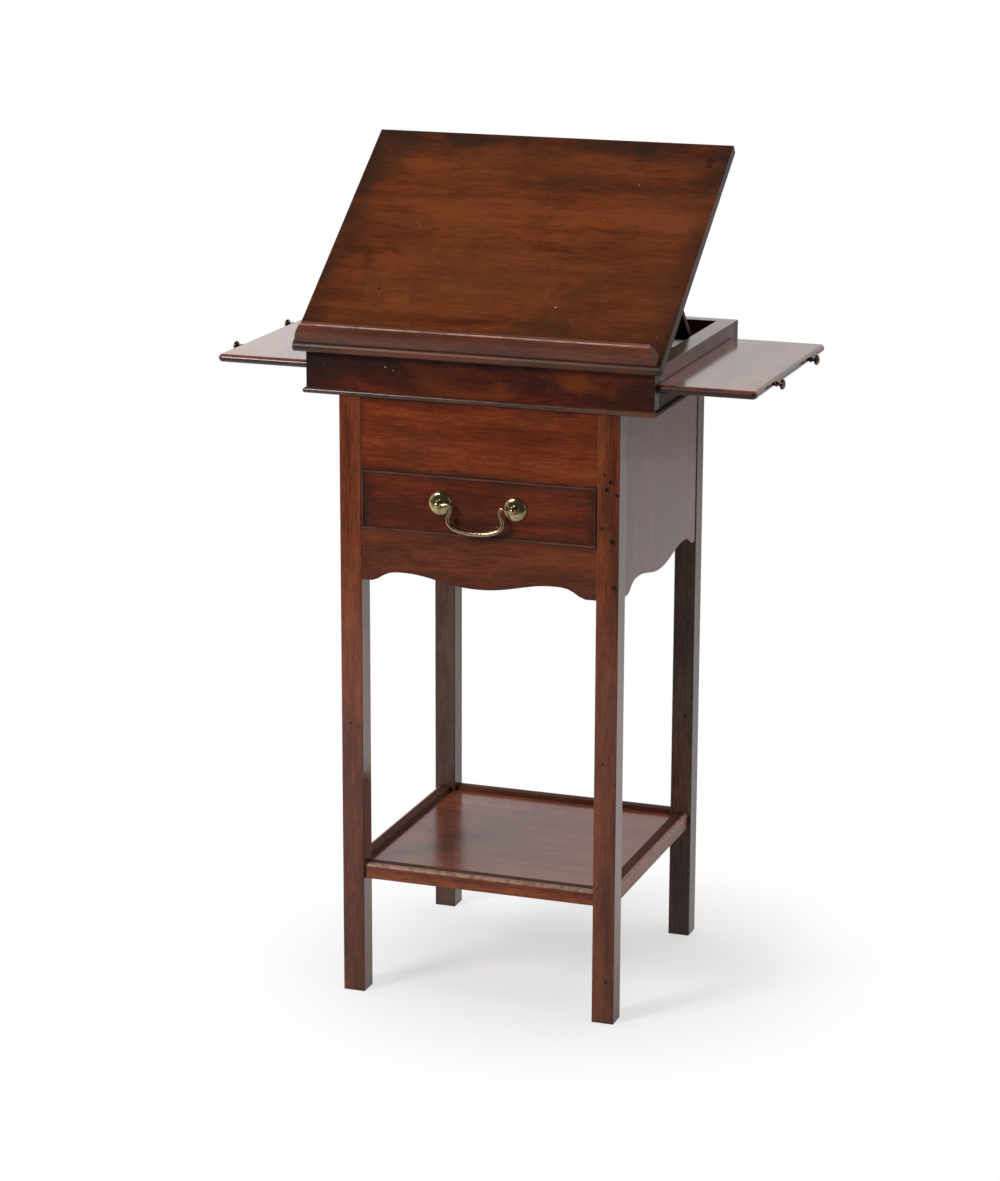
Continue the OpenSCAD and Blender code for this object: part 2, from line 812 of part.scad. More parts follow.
// Front wall, grooved inside for the slides, with seats for the two box hinge leaves
module box_front() {
    color(mahogany) difference() {
        block([-box_x, -box_y, box_z0], [box_x, -well_y, box_top]);
        block(
            [-box_x - over, slide_y0 - slot_gap, slide_z0 - slot_gap],
            [box_x + over, -well_y + over, slide_top + slot_gap]
        );
        both_sides() translate([hinge_x, axis_y, axis_z]) leaf_seat(-leaf_t, over);
        both_sides() translate([hinge_x, axis_y, axis_z]) screw_holes(-leaf_t, screw_l);
    }
}

module box_back() {
    color(mahogany) block([-box_x, well_y, box_z0], [box_x, box_y, box_top]);
}

// Right side wall, slotted for the slide
module box_side() {
    difference() {
        block([well_x, -well_y, box_z0], [box_x, well_y, box_top]);
        block(
            [well_x - over, -well_y - over, slide_z0 - slot_gap],
            [box_x + over, slide_y1 + slot_gap, slide_top + slot_gap]
        );
    }
}

module box_side_right() {
    color(mahogany) box_side();
}

module box_side_left() {
    color(mahogany) mirror([1, 0, 0]) box_side();
}

module box_bottom() {
    color(oak) block([-well_x, -well_y, box_z0], [well_x, well_y, box_z0 + box_bottom_t]);
}

// Bead moulding along x, mitred at both ends, its back on the plane y = 0
module moulding(half_len) {
    r = moulding_h / 2;
    nose = [for (i = [-6:6]) [-moulding_out * cos(15 * i), r + r * sin(15 * i)]];
    long = half_len + moulding_out;
    intersection() {
        translate([-long, 0, 0]) rotate([90, 0, 90]) linear_extrude(2 * long)
            polygon(nose);
        translate([0, 0, -over]) linear_extrude(moulding_h + 2 * over) polygon([
            [-half_len, 0], [half_len, 0], [long, -moulding_out], [-long, -moulding_out]
        ]);
    }
}

module moulding_front() {
    color(mahogany_dark) translate([0, -box_y, box_z0]) moulding(box_x);
}

// Side moulding: mitred at the front, square at the back
module moulding_side() {
    difference() {
        translate([box_x, 0, box_z0]) rotate([0, 0, 90]) moulding(box_y);
        block([box_x - over, box_y, box_z0 - over], [box_x + 2 * moulding_out,
            box_y + 2 * moulding_out, box_z0 + moulding_h + over]);
    }
}

module moulding_right() {
    color(mahogany_dark) moulding_side();
}

module moulding_left() {
    color(mahogany_dark) mirror([1, 0, 0]) moulding_side();
}

// Floor of the well, over the slides
module well_floor() {
    color(mahogany_dark)
        block([-well_x, -well_y, well_floor_top - well_floor_t], [well_x, well_y, well_floor_top]);
}

// Toothed strip along the right side of the well: upright faces look forward, ramps fall backward
module ratchet() {
    start = ratchet_back - tooth_pitch * tooth_count;
    lead = start - ratchet_lead;
    teeth = [for (i = [0:tooth_count - 1])
        each [
            [start + tooth_pitch * i, ratchet_h],
            [start + tooth_pitch * (i + tooth_ramp), tooth_root],
            [start + tooth_pitch * (i + 1), tooth_root]
        ]
    ];
    translate([well_x - ratchet_w, 0, well_floor_top]) rotate([90, 0, 90]) linear_extrude(ratchet_w)
        polygon(concat([[lead, 0], [lead, ratchet_h]], teeth, [[ratchet_back, 0]]));
}

module ratchet_right() {
    color(mahogany_dark) ratchet();
}

module ratchet_left() {
    color(mahogany_dark) mirror([1, 0, 0]) ratchet();
}

// Strips under the slides inside the box; the back pair also closes in behind the slides
module slide_bearers() {
    z1 = slide_z0 - slot_gap;
    color(oak) both_sides() {
        block([divider_w / 2, -well_y, z1 - bearer_h], [well_x, -well_y + bearer_w, z1]);
        block([divider_w / 2, well_y - bearer_w, z1 - bearer_h], [well_x, well_y, z1]);
        block([divider_w / 2, slide_y1 + slot_gap, z1 - over],
            [well_x, well_y, well_floor_top - well_floor_t]);
    }
}

// Middle strip that the slides meet when they are shut
module slide_divider() {
    color(oak) block(
        [-divider_w / 2, -well_y, box_z0 + box_bottom_t],
        [divider_w / 2, well_y, well_floor_top - well_floor_t]
    );
}

// Rounded corner of a slide, seen from above, with the same round edge as its sides
module slide_corner_piece() {
    rotate_extrude(angle = 90) intersection() {
        union() {
            translate([0, -slide_edge_r]) square([slide_corner - slide_edge_r, slide_t]);
            translate([slide_corner - slide_edge_r, 0]) circle(r = slide_edge_r);
        }
        translate([0, -slide_t]) square([2 * slide_corner, 2 * slide_t]);
    }
}

// Right slide: a board with round edges on the three sides that show
module slide_board() {
    r = slide_edge_r;
    x0 = slide_end_x - slide_len;
    x1 = slide_end_x - slide_corner;
    difference() {
        union() {
            block([x0, slide_y0 + r, slide_z0], [x1, slide_y1 - r, slide_top]);
            block(
                [x1 - over, slide_y0 + slide_corner, slide_z0],
                [slide_end_x - r, slide_y1 - slide_corner, slide_top]
            );
            for (y = [slide_y0 + r, slide_y1 - r])
                translate([x0, y, slide_mid_z]) rotate([0, 90, 0]) cylinder(h = x1 - x0, r = r);
            translate([slide_end_x - r, slide_y1 - slide_corner, slide_mid_z]) rotate([90, 0, 0])
                cylinder(h = slide_y1 - slide_y0 - 2 * slide_corner, r = r);
            translate([x1, slide_y1 - slide_corner, slide_mid_z]) slide_corner_piece();
            translate([x1, slide_y0 + slide_corner, slide_mid_z]) rotate([0, 0, -90])
                slide_corner_piece();
        }
        for (y = knob_ys) translate([slide_end_x - knob_shank_l, y, slide_mid_z]) rotate([0, 90, 0])
            cylinder(h = knob_shank_l + over, r = knob_shank_r + bore_gap);
        translate([stop_pin_x, 0, slide_z0 - over])
            cylinder(h = stop_pin_in + over, r = stop_pin_r + bore_gap);
    }
}

module slide_right() {
    color(mahogany) slide_board();
}

module slide_left() {
    color(mahogany) mirror([1, 0, 0]) slide_board();
}

// Turned knob pointing to +x: a bead on the slide's round edge, a waist and a domed head
module knob() {
    half_t = knob_head_t / 2;
    bead = [for (i = [-3:3])
        [
            knob_waist_r + (knob_bead_r - knob_waist_r) * cos(30 * i),
            knob_bead_h / 2 * (1 + sin(30 * i))
        ]
    ];
    head = [for (i = [-7:9]) [knob_d / 2 * cos(10 * i), knob_stand + half_t * sin(10 * i)]];
    rotate([0, 90, 0]) rotate_extrude() polygon(concat(
        [[0, -knob_shank_l], [knob_shank_r, -knob_shank_l], [knob_shank_r, 0]],
        bead,
        head
    ));
}

module slide_knobs() {
    for (y = knob_ys) translate([slide_end_x, y, slide_mid_z]) knob();
}

module slide_knobs_right() {
    color(brass_dark) slide_knobs();
}

module slide_knobs_left() {
    color(brass_dark) mirror([1, 0, 0]) slide_knobs();
}

// Dowel under the slide that meets the side wall when the slide is drawn out
module slide_stop() {
    translate([stop_pin_x, 0, slide_z0 - stop_pin_h])
        cylinder(h = stop_pin_h + stop_pin_in, r = stop_pin_r);
}

module slide_stop_right() {
    color(oak) slide_stop();
}

module slide_stop_left() {
    color(oak) mirror([1, 0, 0]) slide_stop();
}

// Reading slope with a round front edge, seats for the leaves and grooves for the knuckles
module slope_board() {
    r = slope_t / 2;
    back_r = 1.5;
    color(mahogany_light) on_slope() difference() {
        translate([0, 0, lid_gap]) {
            block([-slope_w / 2, r - slope_nose, 0], [slope_w / 2, slope_len - back_r, slope_t]);
            block(
                [-slope_w / 2, slope_len - back_r - over, back_r],
                [slope_w / 2, slope_len, slope_t - back_r]
            );
            for (z = [back_r, slope_t - back_r]) translate([-slope_w / 2, slope_len - back_r, z])
                rotate([0, 90, 0]) cylinder(h = slope_w, r = back_r);
            translate([-slope_w / 2, r - slope_nose, r]) rotate([0, 90, 0])
                cylinder(h = slope_w, r = r);
        }
        both_sides() translate([hinge_x, 0, 0]) lid_hinge_cut();
        both_sides() translate([strut_hinge_x, strut_place, 0]) lid_hinge_cut();
    }
}

// Seat, knuckle groove and screw holes under the slope for one hinge
module lid_hinge_cut() {
    leaf_seat(0, lid_gap + leaf_t);
    translate([-hinge_w / 2 - run_gap, 0, 0]) rotate([0, 90, 0])
        cylinder(h = hinge_w + 2 * run_gap, r = knuckle_r + groove_gap);
    screw_holes(lid_gap, screw_l);
}

// Book ledge: a softly rounded moulding with a flat top, mitred round at both ends
module book_ledge() {
    foot = ledge_step - slope_nose;
    steps = 8;
    round_w = ledge_t - ledge_top_w;
    low = [0, ledge_h / 8];
    face = [for (i = [0:steps]) cubic(
        low,
        [0.02 * round_w, ledge_h / 2],
        [0.29 * round_w, 0.75 * ledge_h],
        [round_w, ledge_h],
        i / steps
    )];
    outline = concat(
        [[ledge_t, 0], [ledge_quirk, 0], [ledge_quirk, ledge_quirk]],
        face,
        [[ledge_t, ledge_h]]
    );
    half = slope_w / 2 - ledge_end_step;
    color(mahogany_dark) on_slope() translate([0, foot, lid_gap + slope_t]) intersection() {
        translate([-half, 0, 0]) rotate([90, 0, 90]) linear_extrude(2 * half) polygon(outline);
        translate([half, ledge_t / 2, 0]) rotate([90, 0, 180]) ledge_return(outline, 2 * half);
        translate([-half, ledge_t / 2, 0]) rotate([90, 0, 0]) ledge_return(outline, 2 * half);
    }
}

// The ledge's outline seen from its end, carried solid to the far end
module ledge_return(outline, length) {
    ends = [for (p = outline) p[0] == ledge_t ? [length, p[1]] : p];
    translate([0, 0, -2 * ledge_t]) linear_extrude(4 * ledge_t) polygon(ends);
}

// Seat for a leaf between two heights
module leaf_seat(low, high) {
    block([-hinge_w / 2 - leaf_gap, 0, low], [hinge_w / 2 + leaf_gap, leaf_reach + leaf_gap, high]);
}

// Places what is drawn for one screw, its leaf between z = 0 and leaf_t, at both screws of a leaf
// whose plate starts at a height: below the hinge line facing up, above it facing down
module at_screws(low) {
    up = low < 0;
    for (side = [-1, 1]) translate([side * screw_x, screw_y, up ? low : low + leaf_t])
        mirror([0, 0, up ? 0 : 1]) children();
}

// Holes in the wood under a leaf
module screw_holes(low, length) {
    at_screws(low) translate([0, 0, -length - screw_end_gap])
        cylinder(h = length + screw_end_gap + leaf_t + over, r = screw_hole_r);
}

// Hinge leaf with its own knuckles, "odd" or "even", out of five, its plate between two heights
module leaf(odd, low) {
    seg = hinge_w / 5;
    difference() {
        union() {
            block([-hinge_w / 2, knuckle_r + knuckle_gap, low],
                [hinge_w / 2, leaf_reach, low + leaf_t]);
            for (i = [0:4]) if ((i % 2 == 0) == odd) {
                x0 = -hinge_w / 2 + seg * i + (i == 0 ? 0 : knuckle_gap / 2);
                x1 = -hinge_w / 2 + seg * (i + 1) - (i == 4 ? 0 : knuckle_gap / 2);
                translate([x0, 0, 0]) rotate([0, 90, 0]) cylinder(h = x1 - x0, r = knuckle_r);
                block([x0, 0, low], [x1, knuckle_r + knuckle_gap + over, low + leaf_t]);
            }
        }
        translate([-hinge_w / 2 - over, 0, 0]) rotate([0, 90, 0])
            cylinder(h = hinge_w + 2 * over, r = pin_r + bore_gap);
        at_screws(low) screw_cut();
    }
}

// Countersunk hole through a leaf, its wide end up
module screw_cut() {
    translate([0, 0, leaf_t - screw_head_h]) cylinder(
        h = screw_head_h + bore_gap, r1 = screw_hole_r, r2 = screw_head_r + 2 * bore_gap);
    translate([0, 0, -over]) cylinder(h = leaf_t + over, r = screw_hole_r);
}

// Two countersunk screws in a leaf, their slotted heads flush with its open face
module screws(low, length) {
    at_screws(low) difference() {
        union() {
            translate([0, 0, leaf_t - screw_head_h])
                cylinder(h = screw_head_h - bore_gap, r1 = screw_r, r2 = screw_head_r);
            translate([0, 0, -length]) cylinder(h = length + leaf_t - screw_head_h, r = screw_r);
        }
        translate([-screw_head_r - over, -slot_w / 2, leaf_t - bore_gap - slot_d])
            cube([2 * (screw_head_r + over), slot_w, slot_d + over]);
    }
}

module hinge_pin() {
    translate([-hinge_w / 2, 0, 0]) rotate([0, 90, 0]) cylinder(h = hinge_w, r = pin_r);
}

module box_hinge_leaves() {
    color(brass_dark) both_sides() translate([hinge_x, axis_y, axis_z]) leaf(true, -leaf_t);
}

module box_hinge_screws() {
    color(brass) both_sides() translate([hinge_x, axis_y, axis_z]) screws(-leaf_t, screw_l);
}

module lid_hinge_pins() {
    color(brass) both_sides() translate([hinge_x, axis_y, axis_z]) hinge_pin();
}

// Leaves under the slope, two at its hinge line and two at the strut's
module lid_hinge_leaves() {
    color(brass_dark) on_slope() both_sides() {
        translate([hinge_x, 0, 0]) leaf(false, lid_gap);
        translate([strut_hinge_x, strut_place, 0]) leaf(false, lid_gap);
    }
}

module lid_screws() {
    color(brass) on_slope() both_sides() {
        translate([hinge_x, 0, 0]) screws(lid_gap, screw_l);
        translate([strut_hinge_x, strut_place, 0]) screws(lid_gap, screw_l);
    }
}

// Strut stiles: rounded feet that stand on the toothed strips
module strut_stiles() {
    color(mahogany_dark) on_strut() both_sides() {
        block([strut_x - stile_w, strut_start, -strut_t], [strut_x, strut_len, 0]);
        translate([strut_x - stile_w, strut_len, -strut_foot_r]) rotate([0, 90, 0])
            cylinder(h = stile_w, r = strut_foot_r);
    }
}

// Strut rails: the upper one carries the hinges, the lower one is arched between the feet
module strut_rails() {
    inner = strut_x - stile_w;
    arch_r = foot_rail_arch_r;
    arch_y = foot_rail_from + foot_rail_w;
    color(mahogany_dark) on_strut() {
        difference() {
            block([-inner, strut_start, -strut_t], [inner, strut_start + strut_rail_w, 0]);
            both_sides() translate([strut_hinge_x, 0, 0]) leaf_seat(-leaf_t, over);
            both_sides() translate([strut_hinge_x, 0, 0]) screw_holes(-leaf_t, strut_screw_l);
        }
        difference() {
            block([-inner, foot_rail_from, -strut_t], [inner, arch_y + arch_r, 0]);
            block(
                [-inner + arch_r, arch_y, -strut_t - over],
                [inner - arch_r, arch_y + arch_r + over, over]
            );
            both_sides() translate([inner - arch_r, arch_y + arch_r, -strut_t - over])
                cylinder(h = strut_t + 2 * over, r = arch_r);
        }
    }
}

module strut_hinge_leaves() {
    color(brass_dark) on_strut() both_sides() translate([strut_hinge_x, 0, 0]) leaf(true, -leaf_t);
}

module strut_hinge_pins() {
    color(brass) on_strut() both_sides() translate([strut_hinge_x, 0, 0]) hinge_pin();
}

// Short screws, because the strut is thin
module strut_screws() {
    color(brass) on_strut() both_sides() translate([strut_hinge_x, 0, 0])
        screws(-leaf_t, strut_screw_l);
}

leg_front_left();
leg_front_right();
leg_back_left();
leg_back_right();
front_panel();
front_apron();
side_panel_left();
side_panel_right();
back_panel();
drawer_runners();
drawer_guides();
drawer_kickers();
drawer_stops();
shelf_rail_front();
shelf_rail_back();
shelf_rail_left();
shelf_rail_right();
shelf_board();
drawer_front();
drawer_side_left();
drawer_side_right();
drawer_back();
drawer_bottom();
cock_bead_long();
cock_bead_short();
handle_roses();
handle_posts();
handle_nuts();
handle_bail();
box_front();
box_back();
box_side_left();
box_side_right();
box_bottom();
moulding_front();
moulding_left();
moulding_right();
well_floor();
ratchet_left();
ratchet_right();
slide_bearers();
slide_divider();
slide_left();
slide_right();
slide_knobs_left();
slide_knobs_right();
slide_stop_left();
slide_stop_right();
slope_board();
book_ledge();
box_hinge_leaves();
lid_hinge_leaves();
lid_hinge_pins();
box_hinge_screws();
lid_screws();
strut_stiles();
strut_rails();
strut_hinge_leaves();
strut_hinge_pins();
strut_screws();
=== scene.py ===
import math

import bmesh
import bpy
from mathutils import Matrix, Vector


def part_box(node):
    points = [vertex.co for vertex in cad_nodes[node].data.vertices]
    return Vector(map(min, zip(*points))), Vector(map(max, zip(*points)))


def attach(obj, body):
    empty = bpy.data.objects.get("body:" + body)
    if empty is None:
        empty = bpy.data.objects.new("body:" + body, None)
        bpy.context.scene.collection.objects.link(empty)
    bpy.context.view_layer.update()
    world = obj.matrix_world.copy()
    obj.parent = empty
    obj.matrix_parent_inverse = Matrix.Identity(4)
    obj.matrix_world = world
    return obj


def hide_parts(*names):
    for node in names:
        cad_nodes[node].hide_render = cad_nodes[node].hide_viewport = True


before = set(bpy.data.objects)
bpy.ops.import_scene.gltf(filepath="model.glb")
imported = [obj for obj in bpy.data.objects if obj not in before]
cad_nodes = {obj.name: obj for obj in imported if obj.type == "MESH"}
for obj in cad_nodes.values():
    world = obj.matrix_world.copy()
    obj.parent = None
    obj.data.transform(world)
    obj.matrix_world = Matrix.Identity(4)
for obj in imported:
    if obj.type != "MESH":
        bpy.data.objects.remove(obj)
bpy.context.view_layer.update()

# Camera: it stands a little right of the front and looks slightly down, about four metres off, with a
# long lens, so that the legs stay nearly upright in the picture.
camera_eye = Vector((1.31213, -3.82625, 1.54664))
camera_aim = Vector((-0.0334, 0.0, 0.48045))
camera_turn = math.radians(0.19)
camera_lens = bpy.data.cameras.new("camera")
camera_lens.lens = 103.1
camera_lens.sensor_width = 36
camera_lens.clip_end = 60
camera = bpy.data.objects.new("camera", camera_lens)
bpy.context.scene.collection.objects.link(camera)
camera.matrix_world = (
    Matrix.Translation(camera_eye)
    @ (camera_eye - camera_aim).to_track_quat("Z", "Y").to_matrix().to_4x4()
    @ Matrix.Rotation(camera_turn, 4, "Z")
)
bpy.context.scene.camera = camera
bpy.context.scene.view_settings.view_transform = "Standard"


# Studio light: a white room behind and beside the table, dark overhead and behind the camera, so that
# the polish mirrors white at a low angle and the fronts keep their deep colour. A big soft lamp at the
# front left gives the shadows, and a wide one overhead, which nothing mirrors, softens them.
def put(tree, kind, inputs=None, **settings):
    made = tree.nodes.new(kind)
    for key, value in settings.items():
        setattr(made, key, value)
    for key, value in (inputs or {}).items():
        if isinstance(value, bpy.types.NodeSocket):
            tree.links.new(value, made.inputs[key])
        else:
            made.inputs[key].default_value = value
    return made


def eased(tree, value, low, high, start=0.0, end=1.0):
    """Goes smoothly from start, where the value is low, to end, where it is high."""
    return put(tree, "ShaderNodeMapRange", {
        "Value": value, "From Min": low, "From Max": high, "To Min": start, "To Max": end,
    }, interpolation_type="SMOOTHSTEP").outputs[0]


def reckon(tree, how, first, second=0.0, third=0.0):
    return put(tree, "ShaderNodeMath", {0: first, 1: second, 2: third}, operation=how).outputs[0]


def product(tree, first, *others):
    for other in others:
        first = reckon(tree, "MULTIPLY", first, other)
    return first


world = bpy.data.worlds.new("studio")
bpy.context.scene.world = world
world.use_nodes = True
sky = world.node_tree
sky.nodes.clear()
look = put(sky, "ShaderNodeSeparateXYZ", {0: put(sky, "ShaderNodeTexCoord").outputs["Generated"]})
behind = eased(sky, look.outputs["Y"], -0.15, 0.35)
beside = eased(sky, reckon(sky, "ABSOLUTE", look.outputs["X"]), 0.5, 0.95, 0.0, 0.6)
walls = reckon(sky, "MAXIMUM", behind, beside)
below_ceiling = eased(sky, look.outputs["Z"], 0.45, 0.8, 1.0, 0.0)
left_to_right = eased(sky, look.outputs["X"], -0.4, -0.2, 1.0, 0.7)
lit_walls = product(sky, walls, below_ceiling, left_to_right)
dark_side = 0.05
room = reckon(sky, "MULTIPLY_ADD", lit_walls, 1 - dark_side, dark_side)
seen = put(sky, "ShaderNodeLightPath").outputs["Is Camera Ray"]
brightness = reckon(sky, "MAXIMUM", room, seen)
lit_room = put(sky, "ShaderNodeBackground", {"Color": (1, 1, 1, 1), "Strength": brightness})
put(sky, "ShaderNodeOutputWorld", {"Surface": lit_room.outputs[0]})


def soft_lamp(name, place, aim, size, power, colour):
    lamp = bpy.data.lights.new(name, "AREA")
    lamp.size = size
    lamp.energy = power
    lamp.color = colour
    held = bpy.data.objects.new(name, lamp)
    held.location = place
    held.rotation_euler = (Vector(place) - Vector(aim)).to_track_quat("Z", "Y").to_euler()
    bpy.context.scene.collection.objects.link(held)
    return held


soft_lamp("key_lamp", place=(-2.3, -3.3, 2.7), aim=(0, 0, 0.6), size=1.2, power=125,
          colour=(1.0, 0.985, 0.965))
overhead = soft_lamp("overhead_lamp", place=(0.2, 0.2, 3.4), aim=(0, 0, 0), size=3.2, power=75,
                     colour=(0.97, 0.98, 1.0))
overhead.visible_glossy = False

# Floor: plain white paper that keeps the table's shadow. It fades to pure white away from the table,
# and its own tone turns dark in front, where the paper ends and the studio's floor begins. In the polish
# it is a painted reflection: for glossy rays it glows, dim far in front, brighter to the left, brightest
# just behind the table and dimmer again far behind.
floor_side, floor_front, floor_back = 9, -6, 12
floor_corners = [(-floor_side, floor_front, 0), (floor_side, floor_front, 0), (floor_side, floor_back, 0),
                 (-floor_side, floor_back, 0)]
floor_mesh = bpy.data.meshes.new("floor")
floor_mesh.from_pydata(floor_corners, [], [(0, 1, 2, 3)])
floor = bpy.data.objects.new("floor", floor_mesh)
bpy.context.scene.collection.objects.link(floor)
paper = bpy.data.materials.new("white_paper")
paper.use_nodes = True
tree = paper.node_tree
tree.nodes.clear()
spot = put(tree, "ShaderNodeTexCoord").outputs["Object"]
across, depth = put(tree, "ShaderNodeSeparateXYZ", {0: spot}).outputs[:2]
rays = put(tree, "ShaderNodeLightPath")
paper_end, studio_start = -0.9, -1.6
studio_floor = eased(tree, depth, paper_end, studio_start)
paper_tone, studio_tone = (0.93, 0.93, 0.93, 1), (0.05, 0.05, 0.05, 1)
tone = put(tree, "ShaderNodeMix", {0: studio_floor, 6: paper_tone, 7: studio_tone}, data_type="RGBA")
matt_floor = put(tree, "ShaderNodeBsdfDiffuse", {"Color": tone.outputs[2]})
shadow_middle, shadow_near, shadow_far = (0.06, 0.0, 0.0), 0.15, 0.48
apart = put(tree, "ShaderNodeVectorMath", {0: spot, 1: shadow_middle}, operation="DISTANCE").outputs["Value"]
far = reckon(tree, "MAXIMUM", eased(tree, apart, shadow_near, shadow_far, 0.57), studio_floor)
for_camera = product(tree, rays.outputs["Is Camera Ray"], far)
white = put(tree, "ShaderNodeEmission", {"Color": (1, 1, 1, 1)})
seen_floor = put(tree, "ShaderNodeMixShader", {0: for_camera, 1: matt_floor.outputs[0], 2: white.outputs[0]})
# Painted reflection: for glossy rays the floor glows, with a strength set by place.
before = product(tree, eased(tree, depth, -2.2, -1.5, 0.05, 0.4), eased(tree, across, -0.6, 0.1, 1.9, 0.95))
under = eased(tree, depth, -0.3, 0.4, 0.0, 0.5)
beyond = eased(tree, depth, 0.9, 2.4, 0.0, -0.18)
beyond = reckon(tree, "ADD", beyond, eased(tree, depth, 2.75, 3.1, 0.0, -0.3))
painted_reflection_strength = reckon(tree, "ADD", reckon(tree, "ADD", before, under), beyond)
painted_reflection = put(tree, "ShaderNodeEmission", {"Color": (1, 1, 1, 1), "Strength": painted_reflection_strength})
shown = put(tree, "ShaderNodeMixShader", {0: rays.outputs["Is Glossy Ray"], 1: seen_floor.outputs[0],
                                          2: painted_reflection.outputs[0]})
put(tree, "ShaderNodeOutputMaterial", {"Surface": shown.outputs[0]})
floor_mesh.materials.append(paper)

# Legs: four plain square legs of old mahogany, sawn and planed with the grain upright, and french
# polished. The front right one has most of the worm holes, and the back right one two nail holes.
GRAIN = {"X": (0, 0, 0), "Y": (0, 0, -math.pi / 2), "Z": (0, math.pi / 2, 0)}
ALONG = {"X": (1, 0, 0), "Y": (0, 1, 0), "Z": (0, 0, 1)}


def noise(tree, where, stretch, detail=3.0, rough=0.5, twist=0.0):
    scaled = put(tree, "ShaderNodeVectorMath", {0: where, 1: stretch}, operation="MULTIPLY")
    return put(tree, "ShaderNodeTexNoise", {"Vector": scaled.outputs[0], "Scale": 1.0, "Detail": detail,
                                            "Roughness": rough, "Distortion": twist})


def tint(tree, amount, under, over):
    if not isinstance(over, bpy.types.NodeSocket):
        over = (*over, 1)
    return put(tree, "ShaderNodeMix", {0: amount, 6: under, 7: over}, data_type="RGBA").outputs[2]


def spots(tree, place, given):
    """Round marks, given as (x, y, z, radius)."""
    found = 0.0
    for x, y, z, size in given:
        apart = put(tree, "ShaderNodeVectorMath", {0: place, 1: (x, y, z)}, operation="DISTANCE")
        found = reckon(tree, "MAXIMUM", eased(tree, apart.outputs["Value"], size * 1.2, size * 0.55), found)
    return found


